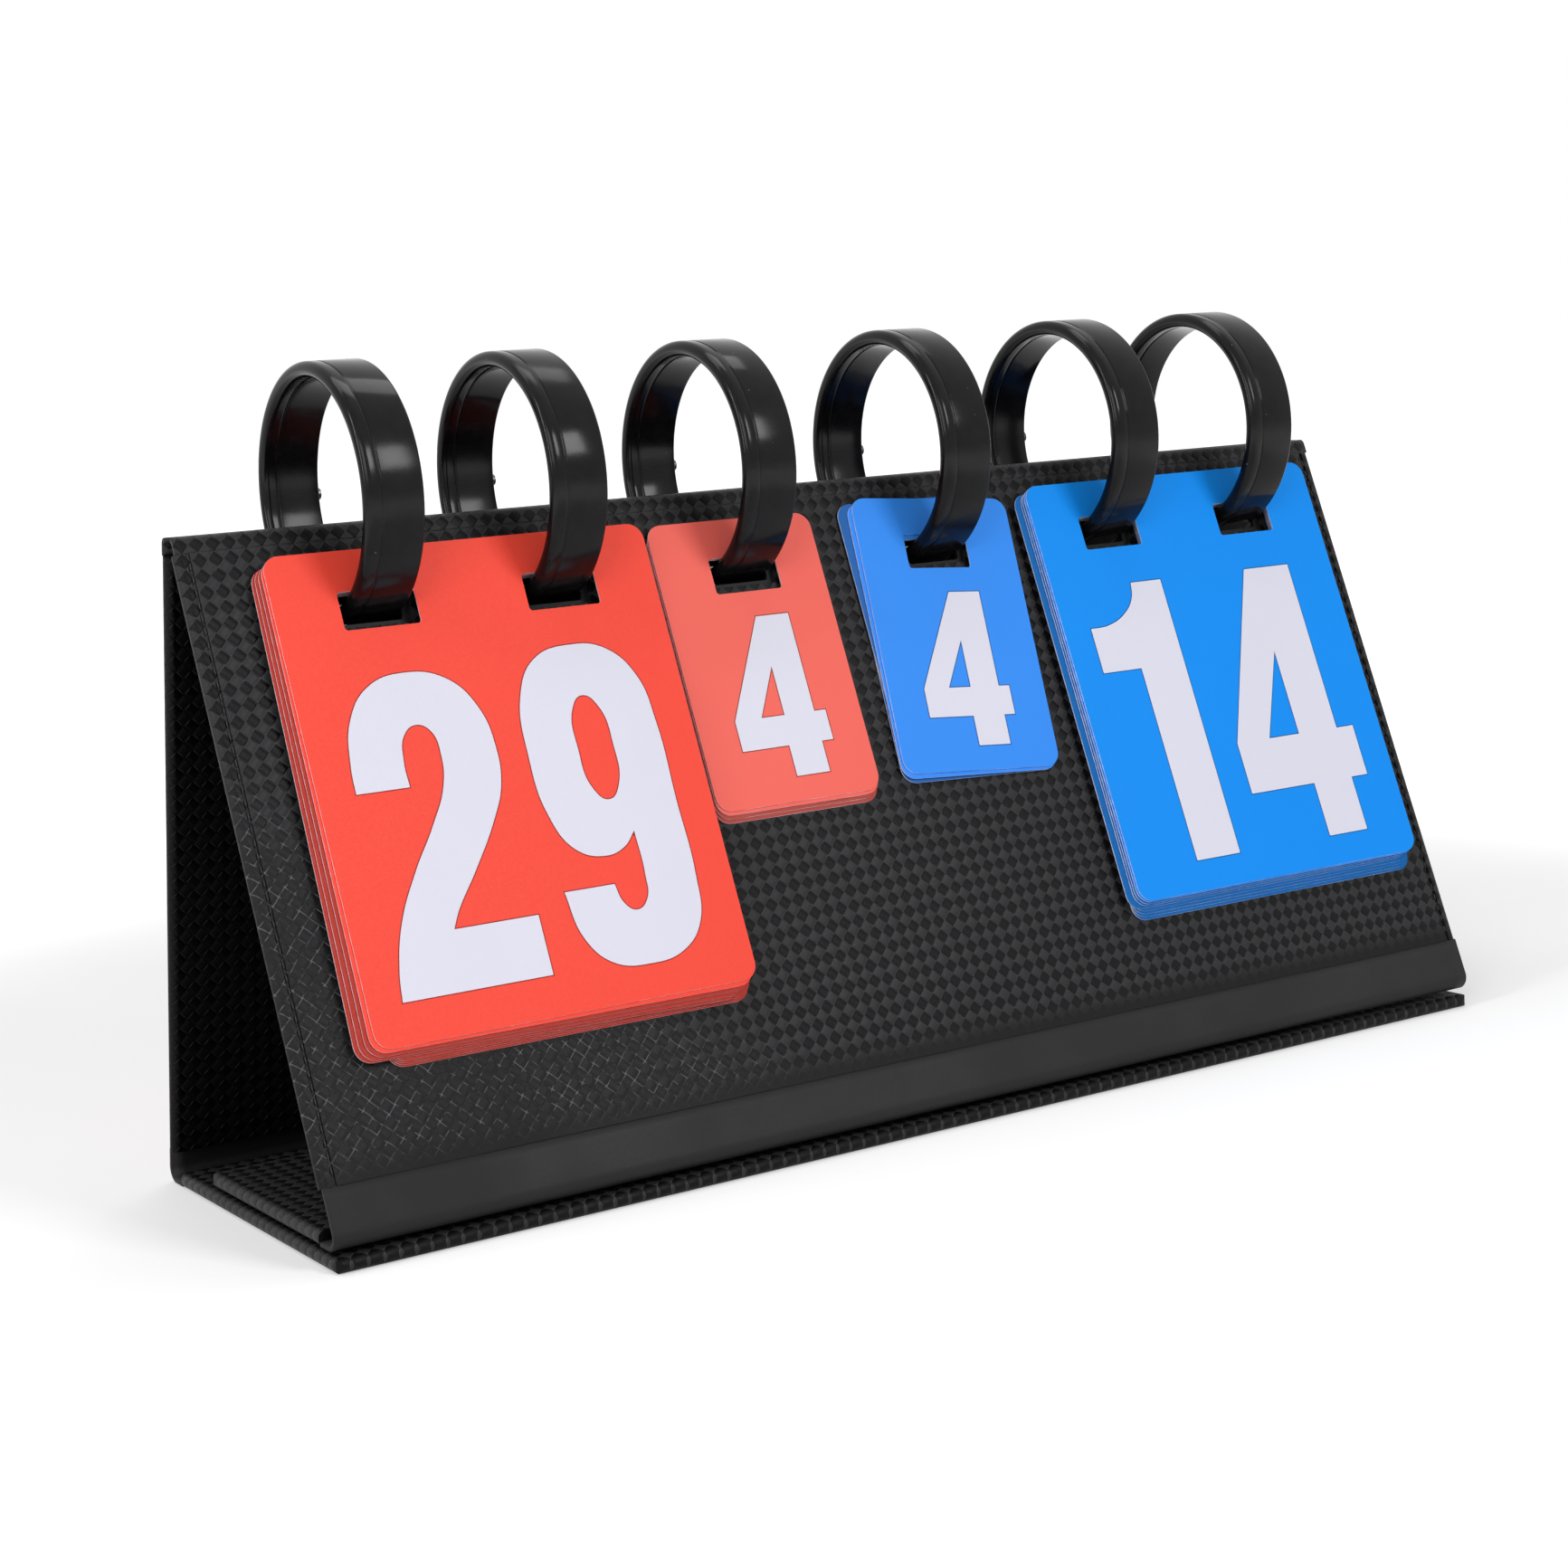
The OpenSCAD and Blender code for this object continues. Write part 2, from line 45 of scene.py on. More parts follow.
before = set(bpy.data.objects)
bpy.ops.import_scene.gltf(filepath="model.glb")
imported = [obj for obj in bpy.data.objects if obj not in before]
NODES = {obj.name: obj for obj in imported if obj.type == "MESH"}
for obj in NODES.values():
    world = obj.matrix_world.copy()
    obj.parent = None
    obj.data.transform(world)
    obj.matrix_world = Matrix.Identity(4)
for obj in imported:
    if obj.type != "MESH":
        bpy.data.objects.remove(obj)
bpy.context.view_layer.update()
MM = 0.001

# The case, as the solids have it, in millimetres
CASE_W = 385.0
BASE_D = 109.0
RIDGE_H = 176.4
RIDGE_FRONT_Y = 12.4
RIDGE_W = 7.0
BEND_SETBACK = 0.4
PANEL_T = 4.0
PAD_GAP = 1.25
BEND_R = 4.0
HINGE_T = 1.2
HINGE_RECESS = 0.4
FRONT_BAND_H = 11.0
FLAT_BAND_W = 5.0
RIDGE_R = 2.0
RIDGE_BAND_W = 3.0
WELD_W = 4.4
RING_X = (-143.0, -89.6, -29.9, 37.0, 99.8, 153.2)
RING_R = 34.7
RING_T = 4.2
RING_W = 16.4
RING_RISE = 7.5
RING_BACK = 6.3
# How far a slot reaches past its ring, up both panels and down each of them
SLOT_ABOVE = 2.7
FRONT_SLOT_BELOW = 3.0
BACK_SLOT_BELOW = 4.6

FRONT_BEND = Vector((-BASE_D / 2 + BEND_SETBACK + BEND_R, PANEL_T + PAD_GAP + BEND_R))
BACK_BEND = Vector((BASE_D / 2 - BEND_R + HINGE_RECESS, BEND_R))
FRONT_FOLD = Vector((RIDGE_FRONT_Y, RIDGE_H))
BACK_FOLD = Vector((RIDGE_FRONT_Y + RIDGE_W, RIDGE_H))
RING_C = FRONT_FOLD + Vector((RING_BACK, RING_RISE))


def lean(fold, bend):
    """Lean of a panel from upright, in radians."""
    reach = (bend - fold).length
    return math.atan(abs(bend[0] - fold[0]) / (fold[1] - bend[1])) + math.asin(BEND_R / reach)


def face_length(fold, bend):
    return math.sqrt((bend - fold).length_squared - BEND_R**2)


FRONT_LEAN = lean(FRONT_FOLD, FRONT_BEND)
BACK_LEAN = lean(BACK_FOLD, BACK_BEND)
FRONT_L = face_length(FRONT_FOLD, FRONT_BEND)
BACK_L = face_length(BACK_FOLD, BACK_BEND)
FRONT_FOLD_L = RIDGE_R * math.tan((math.pi / 2 - FRONT_LEAN) / 2)
BACK_FOLD_L = RIDGE_R * math.tan((math.pi / 2 - BACK_LEAN) / 2)

# A panel drawn upright: X to its viewer's right, -Y out of its face, -Z down the face
ON_FRONT = Matrix.Translation((0, FRONT_FOLD[0] * MM, FRONT_FOLD[1] * MM)) @ Matrix.Rotation(
    -FRONT_LEAN, 4, "X"
)
ON_BACK = (
    Matrix.Translation((0, BACK_FOLD[0] * MM, BACK_FOLD[1] * MM))
    @ Matrix.Rotation(math.pi, 4, "Z")
    @ Matrix.Rotation(-BACK_LEAN, 4, "X")
)


class ScoreboardSizes(bpy.types.PropertyGroup):
    """Sizes of the trim and of the pattern pressed into the skins"""

    weave_cell: FloatProperty(
        name="Weave cell", description="Side of one cell of the pressed weave",
        default=0.00305, unit="LENGTH",
    )
    weave_depth: FloatProperty(
        name="Weave depth", description="Depth of the pressed weave", default=0.00016, unit="LENGTH"
    )
    grain_depth: FloatProperty(
        name="Grain depth", description="Depth of the fine leather grain", default=0.00005,
        unit="LENGTH",
    )
    stitch_pitch: FloatProperty(
        name="Stitch pitch", description="Distance between two crimps of the weld line",
        default=0.0034, unit="LENGTH",
    )
    stitch_length: FloatProperty(
        name="Stitch length", description="Length of one crimp", default=0.0023, unit="LENGTH"
    )
    card_thickness: FloatProperty(
        name="Card thickness", description="Thickness of one number card", default=0.0004,
        unit="LENGTH",
    )
    card_pitch: FloatProperty(
        name="Card pitch", description="A card and the air above it in a pile", default=0.0005,
        unit="LENGTH",
    )
    card_corner: FloatProperty(
        name="Card corner", description="Radius of a card's corners", default=0.0045, unit="LENGTH"
    )
    outline_width: FloatProperty(
        name="Outline width", description="Width of the dark line round a number",
        default=0.0003, unit="LENGTH",
    )


class ScoreboardColours(bpy.types.PropertyGroup):
    """Colours of the scoreboard and of the ground it stands on"""

    leatherette: FloatVectorProperty(
        name="Leatherette", description="Outer skin", subtype="COLOR", size=3,
        default=(0.0135, 0.0135, 0.0145),
    )
    # Painted highlight: colour of the light lines along the edges of the weave's strands
    leatherette_highlight: FloatVectorProperty(
        name="Leatherette lines", description="Painted highlight lines along the edges of the weave's strands",
        subtype="COLOR", size=3, default=(0.15, 0.15, 0.16),
    )
    ring: FloatVectorProperty(
        name="Ring", description="Black plastic of the rings", subtype="COLOR", size=3,
        default=(0.0035, 0.0035, 0.004),
    )
    red: FloatVectorProperty(
        name="Red", description="Large red cards", subtype="COLOR", size=3, default=(0.97, 0.076, 0.046)
    )
    small_red: FloatVectorProperty(
        name="Small red", description="Small red cards", subtype="COLOR", size=3,
        default=(0.95, 0.152, 0.118),
    )
    blue: FloatVectorProperty(
        name="Blue", description="Large blue cards", subtype="COLOR", size=3, default=(0.003, 0.29, 0.96)
    )
    small_blue: FloatVectorProperty(
        name="Small blue", description="Small blue cards", subtype="COLOR", size=3,
        default=(0.04, 0.29, 0.97),
    )
    number: FloatVectorProperty(
        name="Number", description="Printed numbers", subtype="COLOR", size=3, default=(0.78, 0.77, 0.885)
    )
    floor: FloatVectorProperty(
        name="Floor", description="Ground and backdrop", subtype="COLOR", size=3, default=(0.86, 0.86, 0.86)
    )


def sizes():
    return bpy.context.scene.scoreboard_sizes


def colours():
    return bpy.context.scene.scoreboard_colours


# Materials


class Recipe:
    """A new material and the few kinds of node that its finish is mixed from"""

    def __init__(self, name):
        self.material = bpy.data.materials.new(name)
        self.material.use_nodes = True
        self.tree = self.material.node_tree
        self.shader = self.tree.nodes["Principled BSDF"]
        self.coordinates = self.tree.nodes.new("ShaderNodeTexCoord")

    def link(self, source, socket):
        self.tree.links.new(source, socket)

    def fill(self, socket, value):
        if isinstance(value, bpy.types.NodeSocket):
            self.link(value, socket)
        else:
            socket.default_value = value

    def math(self, operation, a, b=0.0, clamp=False):
        node = self.tree.nodes.new("ShaderNodeMath")
        node.operation = operation
        node.use_clamp = clamp
        self.fill(node.inputs[0], a)
        self.fill(node.inputs[1], b)
        return node.outputs[0]

    def either(self, even, a, b):
        """The value a where even is 1, and b where it is 0"""
        node = self.tree.nodes.new("ShaderNodeMix")
        self.fill(node.inputs["Factor"], even)
        self.fill(node.inputs["A"], b)
        self.fill(node.inputs["B"], a)
        return node.outputs["Result"]

    def along(self, vector, direction):
        node = self.tree.nodes.new("ShaderNodeVectorMath")
        node.operation = "DOT_PRODUCT"
        self.link(vector, node.inputs[0])
        node.inputs[1].default_value = direction
        return node.outputs["Value"]

    def ramp(self, value, low, high, at_low=0.0, at_high=1.0):
        node = self.tree.nodes.new("ShaderNodeMapRange")
        node.interpolation_type = "SMOOTHSTEP"
        self.fill(node.inputs["Value"], value)
        node.inputs["From Min"].default_value = low
        node.inputs["From Max"].default_value = high
        node.inputs["To Min"].default_value = at_low
        node.inputs["To Max"].default_value = at_high
        return node.outputs["Result"]

    def blend(self, factor, a, b):
        node = self.tree.nodes.new("ShaderNodeMix")
        node.data_type = "RGBA"
        self.fill(node.inputs["Factor"], factor)
        for socket, value in ((node.inputs["A"], a), (node.inputs["B"], b)):
            self.fill(socket, value if isinstance(value, bpy.types.NodeSocket) else (*value, 1.0))
        return node.outputs["Result"]

    def noise(self, vector, scale, detail=2.0, stretch=None):
        if stretch is not None:
            mapping = self.tree.nodes.new("ShaderNodeMapping")
            mapping.inputs["Scale"].default_value = stretch
            self.link(vector, mapping.inputs["Vector"])
            vector = mapping.outputs["Vector"]
        node = self.tree.nodes.new("ShaderNodeTexNoise")
        node.inputs["Scale"].default_value = scale
        node.inputs["Detail"].default_value = detail
        self.link(vector, node.inputs["Vector"])
        return node.outputs["Fac"]

    def specks(self, vector, scale, radius):
        """1 on small round specks, 0 elsewhere"""
        node = self.tree.nodes.new("ShaderNodeTexVoronoi")
        node.inputs["Scale"].default_value = scale
        self.link(vector, node.inputs["Vector"])
        return self.ramp(node.outputs["Distance"], radius * 0.6, radius, 1.0, 0.0)

    def relief(self, height, depth, under=None):
        node = self.tree.nodes.new("ShaderNodeBump")
        node.inputs["Distance"].default_value = depth
        self.link(height, node.inputs["Height"])
        if under is not None:
            self.link(under, node.inputs["Normal"])
        return node.outputs["Normal"]

    def finish(self, colour=None, roughness=None, normal=None, specular=0.5):
        self.shader.inputs["Specular IOR Level"].default_value = specular
        if colour is not None:
            self.fill(self.shader.inputs["Base Color"], colour)
        if roughness is not None:
            self.fill(self.shader.inputs["Roughness"], roughness)
        if normal is not None:
            self.link(normal, self.shader.inputs["Normal"])
        return self.material


def leatherette(name, across, down, ridge=0.0, foot=None, uv=False, shine_fades_low_left=True, tone=1.0):
    """Black skin pressed with a diagonal weave. Across and down are directions in the surface,
    and ridge is where the face starts, down it. Below foot, in metres down the face, the weave
    gives way to smooth skin. Strands of one direction get a painted highlight and the others painted shade;
    on a face whose shine fades low on the left, both keep the plain base colour there."""
    recipe = Recipe(name)
    place = recipe.coordinates.outputs["UV" if uv else "Object"]
    cell = sizes().weave_cell * math.sqrt(2)
    wander = recipe.noise(place, 60.0)
    u = recipe.math("MULTIPLY_ADD", wander, 0.0012)
    recipe.link(recipe.along(place, across), u.node.inputs[2])
    v = recipe.math("SUBTRACT", recipe.along(place, down), ridge)
    p = recipe.math("DIVIDE", recipe.math("ADD", u, v), cell)
    q = recipe.math("DIVIDE", recipe.math("SUBTRACT", u, v), cell)
    in_p = recipe.math("FRACT", p)
    in_q = recipe.math("FRACT", q)
    number = recipe.math("ADD", recipe.math("FLOOR", p), recipe.math("FLOOR", q))
    odd = recipe.math("FLOORED_MODULO", number, 2.0)
    even = recipe.math("SUBTRACT", 1.0, odd)
    edge_p = recipe.math("PINGPONG", in_p, 0.5)
    edge_q = recipe.math("PINGPONG", in_q, 0.5)
    # A strand rises in the middle of its cell and dives at both ends; its sides are steep
    strand_p = recipe.math("MULTIPLY", recipe.ramp(edge_p, 0.0, 0.38), recipe.ramp(edge_q, 0.0, 0.1))
    strand_q = recipe.math("MULTIPLY", recipe.ramp(edge_q, 0.0, 0.38), recipe.ramp(edge_p, 0.0, 0.1))
    rise = recipe.either(even, strand_p, strand_q)
    rib = recipe.either(
        even,
        recipe.math("PINGPONG", recipe.math("MULTIPLY", in_q, 4.0), 0.5),
        recipe.math("PINGPONG", recipe.math("MULTIPLY", in_p, 4.0), 0.5),
    )
    height = recipe.math("ADD", rise, recipe.math("MULTIPLY", rib, 0.22))
    grain = recipe.noise(place, 1900.0, 4.0)
    blotch = recipe.noise(place, 14.0, 3.0)
    # Painted highlight lines along the edges of the strands, broken up by noise
    edge_highlight_mask = recipe.either(
        even, recipe.ramp(edge_q, 0.02, 0.1, 1.0, 0.0), recipe.ramp(edge_p, 0.02, 0.1, 1.0, 0.0)
    )
    broken = recipe.ramp(recipe.noise(place, 420.0, 2.0), 0.42, 0.62)
    line = recipe.math("MULTIPLY", edge_highlight_mask, broken)
    # A tone below 1 darkens the skin as painted shade, for the linings inside the tent
    base = Vector(colours().leatherette) * tone
    # Painted light: where shine is 1 the strands carry painted highlight and painted shade; low on the left
    # of the front board it fades to 0
    if shine_fades_low_left:
        low_left = recipe.math("MULTIPLY_ADD", v, -1.4)
        recipe.link(u, low_left.node.inputs[2])
        shine = recipe.ramp(low_left, -0.318, -0.258)
        line = recipe.math("MULTIPLY", line, recipe.ramp(shine, 0.0, 1.0, 1.0, 0.16))
    else:
        shine = 1.0
        line = recipe.math("MULTIPLY", line, 0.2)
    # Painted highlight on the strands of one direction, brightest on their ribs, and painted shade (a tenth
    # of the base) on the others
    ribbed = recipe.math("MULTIPLY_ADD", rib, 0.7)
    ribbed.node.inputs[2].default_value = 0.82
    lit = recipe.math("MULTIPLY", ribbed, recipe.math("MULTIPLY", even, shine))
    painted_highlight = recipe.blend(lit, base, base * 2.2)
    body = recipe.blend(recipe.math("MULTIPLY", odd, shine), painted_highlight, base * 0.1)
    # Painted highlight lines over the weave: full strength only low on the left of the front board, faint
    # elsewhere
    body = recipe.blend(line, body, Vector(colours().leatherette_highlight) * tone)
    if foot is not None:
        ragged = recipe.math("MULTIPLY_ADD", recipe.noise(place, 330.0), 0.003)
        recipe.link(v, ragged.node.inputs[2])
        woven = recipe.ramp(ragged, foot - 0.007, foot + 0.0015, 1.0, 0.0)
        body = recipe.blend(woven, base * 0.45, body)
        height = recipe.math("MULTIPLY", height, woven)
    body = recipe.blend(recipe.math("MULTIPLY", grain, 0.2), body, base * 1.6)
    rough = recipe.math(
        "ADD", recipe.ramp(blotch, 0.3, 0.7, 0.34, 0.46), recipe.math("MULTIPLY", grain, 0.12)
    )
    normal = recipe.relief(height, sizes().weave_depth)
    normal = recipe.relief(grain, sizes().grain_depth, normal)
    return recipe.finish(body, rough, normal, 0.11)


def plain_skin(name, colour, depth):
    """Matt lining with a fine pebbled grain"""
    recipe = Recipe(name)
    place = recipe.coordinates.outputs["Object"]
    cells = recipe.tree.nodes.new("ShaderNodeTexVoronoi")
    cells.inputs["Scale"].default_value = 900.0
    recipe.link(place, cells.inputs["Vector"])
    wear = recipe.noise(place, 25.0, 3.0)
    shade = recipe.blend(wear, Vector(colour) * 0.75, Vector(colour) * 1.4)
    rough = recipe.ramp(wear, 0.3, 0.7, 0.55, 0.7)
    return recipe.finish(shade, rough, recipe.relief(cells.outputs["Distance"], depth), 0.3)


def ring_plastic(name):
    """Glossy black plastic, slightly wavy from its mould, with pits and a little dust"""
    recipe = Recipe(name)
    place = recipe.coordinates.outputs["Object"]
    cloud = recipe.noise(place, 40.0, 1.0)
    fine = recipe.noise(place, 260.0, 2.0)
    dust = recipe.specks(place, 170.0, 0.045)
    rough = recipe.math(
        "ADD", recipe.ramp(cloud, 0.3, 0.7, 0.12, 0.2), recipe.math("MULTIPLY", dust, 0.4)
    )
    black = Vector(colours().ring)
    shade = recipe.blend(recipe.ramp(fine, 0.35, 0.65), black, black * 1.5)
    shade = recipe.blend(recipe.math("MULTIPLY", dust, 0.5), shade, Vector((0.2, 0.2, 0.2)))
    normal = recipe.relief(cloud, 0.0002)
    normal = recipe.relief(fine, 0.000015, normal)
    return recipe.finish(shade, rough, normal, 0.17)


def card_face(name, colour):
    """Satin printed face of a card, with a very fine tooth"""
    recipe = Recipe(name)
    place = recipe.coordinates.outputs["Object"]
    ink = recipe.noise(place, 18.0, 3.0)
    tooth = recipe.noise(place, 1600.0, 3.0)
    colour = Vector(colour)
    shade = recipe.blend(ink, colour * 0.96, colour * 1.03)
    rough = recipe.ramp(tooth, 0.3, 0.7, 0.42, 0.55)
    return recipe.finish(shade, rough, recipe.relief(tooth, 0.00003), 0.16)


def card_edge(name, colour):
    """Cut edge of a card: pale core with the face's colour rubbed over it"""
    recipe = Recipe(name)
    place = recipe.coordinates.outputs["Object"]
    streak = recipe.noise(place, 500.0, 3.0)
    pale = Vector((0.85, 0.82, 0.88))
    shade = recipe.blend(recipe.ramp(streak, 0.3, 0.7, 0.5, 0.85), Vector(colour) * 0.8, pale)
    return recipe.finish(shade, recipe.ramp(streak, 0.3, 0.7, 0.6, 0.8), recipe.relief(streak, 0.00001), 0.1)


def brushed(name):
    """Dark brushed metal"""
    recipe = Recipe(name)
    place = recipe.coordinates.outputs["Object"]
    line = recipe.noise(place, 900.0, 2.0)
    recipe.shader.inputs["Metallic"].default_value = 1.0
    shade = recipe.blend(line, Vector((0.09, 0.09, 0.095)), Vector((0.16, 0.16, 0.165)))
    return recipe.finish(shade, recipe.ramp(line, 0.3, 0.7, 0.25, 0.45), recipe.relief(line, 0.00002))


def dress(node, material):
    """Gives a carried-over node its material"""
    mesh = NODES[node].data
    mesh.materials.clear()
    mesh.materials.append(material)


def new_piece(name, mesh, body, materials=(), stands_for=()):
    """A finished piece at the origin that moves with a body"""
    piece = bpy.data.objects.new(name, mesh)
    bpy.context.scene.collection.objects.link(piece)
    for material in materials:
        mesh.materials.append(material)
    if body is not None:
        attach(piece, body)
    if stands_for:
        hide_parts(*stands_for)
    return piece


def mesh_of(bm, name, smooth=True):
    mesh = bpy.data.meshes.new(name)
    bm.to_mesh(mesh)
    bm.free()
    if smooth:
        mesh.shade_smooth()
    return mesh


# Flat pieces cut from outlines: cards and numbers


def rounded(width, height, radius, x=0.0, top=0.0):
    """Closed outline of a rectangle with round corners, its top edge at the given height"""
    k = radius * 0.5523
    left, right, bottom = x - width / 2, x + width / 2, top - height
    corners = (
        (left, top, 1, -1), (right, top, -1, -1), (right, bottom, -1, 1), (left, bottom, 1, 1)
    )
    loop = []
    for i, (cx, cy, sx, sy) in enumerate(corners):
        on_side = (cx, cy + sy * radius), (cx, cy + sy * (radius - k))
        on_end = (cx + sx * radius, cy), (cx + sx * (radius - k), cy)
        first, second = (on_side, on_end) if i % 2 == 0 else (on_end, on_side)
        loop.append((first[0], first[0], first[1]))
        loop.append((second[0], second[1], second[0]))
    return loop


def glyph(points, scale=1.0):
    """Closed outline from (x, y, round) points; a round point gets a flowing curve"""
    return [((x * scale, -y * scale), round_) for x, y, round_ in points]


def flat_mesh(name, loops, thickness, grow=0.0):
    """A flat plate cut from closed outlines; inner outlines are holes"""
    curve = bpy.data.curves.new(name, "CURVE")
    curve.dimensions = "2D"
    curve.fill_mode = "BOTH"
    curve.extrude = thickness / 2
    curve.offset = grow
    curve.resolution_u = 8
    for loop in loops:
        spline = curve.splines.new("BEZIER")
        spline.bezier_points.add(len(loop) - 1)
        spline.use_cyclic_u = True
        for point, data in zip(spline.bezier_points, loop):
            point.co = (*data[0], 0)
            if len(data) == 3:
                point.handle_left_type = point.handle_right_type = "FREE"
                point.handle_left = (*data[1], 0)
                point.handle_right = (*data[2], 0)
            else:
                kind = "AUTO" if data[1] else "VECTOR"
                point.handle_left_type = point.handle_right_type = kind
    holder = bpy.data.objects.new(name, curve)
    bpy.context.scene.collection.objects.link(holder)
    bpy.context.view_layer.update()
    shape = holder.evaluated_get(bpy.context.evaluated_depsgraph_get())
    mesh = bpy.data.meshes.new_from_object(shape)
    bpy.data.objects.remove(holder)
    bpy.data.curves.remove(curve)
    return mesh


def add_plate(bm, loops, thickness, place, grow=0.0, faces=(0, 1)):
    """Adds a plate to a bmesh: its two faces get the first material, its cut edge the second"""
    plate = flat_mesh("plate", loops, thickness, grow)
    part = bmesh.new()
    part.from_mesh(plate)
    bmesh.ops.remove_doubles(part, verts=part.verts, dist=1e-6)
    bmesh.ops.recalc_face_normals(part, faces=part.faces)
    for face in part.faces:
        face.material_index = faces[0] if abs(face.normal.z) > 0.7 else faces[1]
        face.smooth = face.material_index == faces[1] and faces[0] != faces[1]
    bmesh.ops.transform(part, matrix=place, verts=part.verts)
    part.to_mesh(plate)
    part.free()
    bm.from_mesh(plate)
    bpy.data.meshes.remove(plate)


LIE_FLAT = Matrix.Rotation(math.pi / 2, 4, "X")

# In mm: the slots in the cards and panels, the room between a card's slot and the ring it hangs
# on, the strip of card above a slot, and the air under a pile
SLOT_W = 21.6
SLOT_H = 10.4
SLOT_R = 1.0
SLOT_ROOM = 0.4
STRIP = 11.1
CARD_AIR = 0.1
# How much wider the slot of a leaf is for each millimetre that it lies under the top card
SLOT_SLACK = 1.1
# A lie is how far a leaf stands right, hangs lower and turns, and how much wider it is if given
BACK_LIES = [(0.6 * (i - 1), 0.5 * i, 0) for i in range(3)]


class Card:
    """One kind of card: its size, the rings it hangs on, how its pile lies, its colour and its material slot,
    which is not used"""

    def __init__(self, width, height, rings, shift, turn, lies, hue, slot, outlines):
        self.width = width
        self.height = height
        self.rings = rings
        self.middle = (RING_X[rings[0]] + RING_X[rings[-1]]) / 2 + shift
        self.turn = turn
        self.lies = lies
        self.hue = hue
        self.slot = slot
        self.outlines = outlines


def crossing(fold, angle, side, radius, height):
    """How far down a face a circle round the rings' centre crosses it, at a height above it"""
    across = side * (RING_C[0] - fold[0])
    rise = RING_C[1] - fold[1]
    down = across * math.sin(angle) - rise * math.cos(angle)
    out = across * math.cos(angle) + rise * math.sin(angle)
    return down + math.sqrt(radius**2 - (out - height) ** 2)


def card_place(card, panel, mirrored, height, slot_v, turn=0.0):
    """Matrix from a card's own frame, its slots' top on the X axis, to its place on a panel"""
    side = -1 if mirrored else 1
    at = Matrix.Translation((side * card.middle * MM, -height, -slot_v * MM))
    return panel @ at @ LIE_FLAT @ Matrix.Rotation(-math.radians(turn) * side, 4, "Z")


def turned(loop, degrees):
    """A closed outline turned clockwise about the origin"""
    spin = Matrix.Rotation(-math.radians(degrees), 2)
    return [tuple(tuple(spin @ Vector(point)) for point in points) for points in loop]


def card_loops(card, lie, mirrored, slack=0.0):
    """Outline and slots of one card, in metres, in the frame of card_place. The outline is
    moved and turned as the card lies, and the slots stay round the rings, with some slack."""
    side = -1 if mirrored else 1
    corner = sizes().card_corner
    width = card.width + (lie[3] if len(lie) == 4 else 0)
    outline = rounded(width * MM, card.height * MM, corner, lie[0] * side * MM, (STRIP - lie[1]) * MM)
    loops = [turned(outline, lie[2] * side)]
    for ring in card.rings:
        x = (RING_X[ring] - card.middle) * side
        loops.append(rounded((SLOT_W + slack) * MM, SLOT_H * MM, SLOT_R * MM, x * MM))
    return loops


# Numbers as drawn on the straightened cards, in millimetres from the card's top left corner
TWO = [
    (10.5, 64.4, 0), (10.8, 57.3, 1), (13.6, 45.2, 1), (20.4, 37.0, 1), (31.0, 34.3, 1), (42.6, 37.1, 1),
    (49.6, 45.5, 1), (51.9, 57.0, 1), (50.6, 67.5, 1), (46.6, 75.6, 1), (37.6, 88.6, 1), (30.4, 98.0, 1),
    (28.0, 102.4, 0), (52.1, 102.4, 0), (52.1, 118.4, 0), (9.6, 118.4, 0), (10.6, 111.0, 1), (14.4, 98.6, 1),
    (21.4, 86.2, 1), (29.2, 75.0, 1), (34.6, 65.4, 1), (36.1, 57.0, 1), (34.9, 50.6, 1), (31.2, 48.4, 1),
    (27.2, 50.8, 1), (25.4, 57.6, 1), (25.4, 64.4, 0),
]
NINE = [
    (80.5, 32.0, 1), (91.0, 34.2, 1), (98.2, 42.6, 1), (100.5, 56.0, 1), (100.5, 78.0, 1), (100.5, 99.0, 1),
    (98.2, 111.6, 1), (91.4, 118.2, 1), (80.5, 120.1, 1), (69.8, 118.0, 1), (63.4, 110.6, 1), (61.0, 97.8, 0),
    (75.9, 97.8, 0), (77.4, 103.2, 1), (80.6, 105.5, 1), (84.3, 103.2, 1), (85.6, 96.5, 1), (85.6, 84.5, 0),
    (81.6, 88.4, 1), (75.4, 90.0, 1), (67.2, 87.0, 1), (61.9, 77.0, 1), (60.5, 60.6, 1), (62.4, 44.6, 1),
    (69.0, 34.8, 1),
]
NINE_HOLE = [
    (80.5, 46.2, 1), (84.4, 49.6, 1), (86.0, 60.6, 1), (84.6, 71.6, 1), (80.7, 75.2, 1), (76.7, 71.6, 1),
    (75.3, 60.6, 1), (76.6, 49.6, 1),
]
ONE = [
    (29.9, 33.2, 0), (41.5, 33.2, 0), (41.4, 120.1, 0), (24.6, 120.1, 0), (24.6, 59.9, 0), (10.1, 59.9, 0),
    (10.1, 46.0, 0), (17.2, 45.5, 1), (24.4, 42.4, 1), (28.6, 38.0, 1),
]
FOUR = [
    (75.4, 33.2, 0), (93.5, 33.2, 0), (93.5, 87.2, 0), (100.3, 87.2, 0), (100.3, 103.2, 0), (93.6, 103.2, 0),
    (93.6, 120.1, 0), (78.0, 120.1, 0), (78.0, 103.2, 0), (52.6, 103.2, 0), (52.6, 87.2, 0),
]
FOUR_HOLE = [(77.8, 60.3, 0), (77.8, 87.2, 0), (65.6, 87.2, 0)]
SMALL_FOUR = [
    (27.6, 29.0, 0), (38.3, 29.0, 0), (38.3, 58.0, 0), (42.0, 58.0, 0), (42.0, 66.7, 0), (38.2, 66.7, 0),
    (38.2, 75.6, 0), (27.3, 75.6, 0), (27.3, 66.7, 0), (12.2, 66.7, 0), (12.2, 58.0, 0),
]
SMALL_FOUR_HOLE = [(28.4, 43.7, 0), (28.4, 58.0, 0), (20.8, 58.0, 0)]
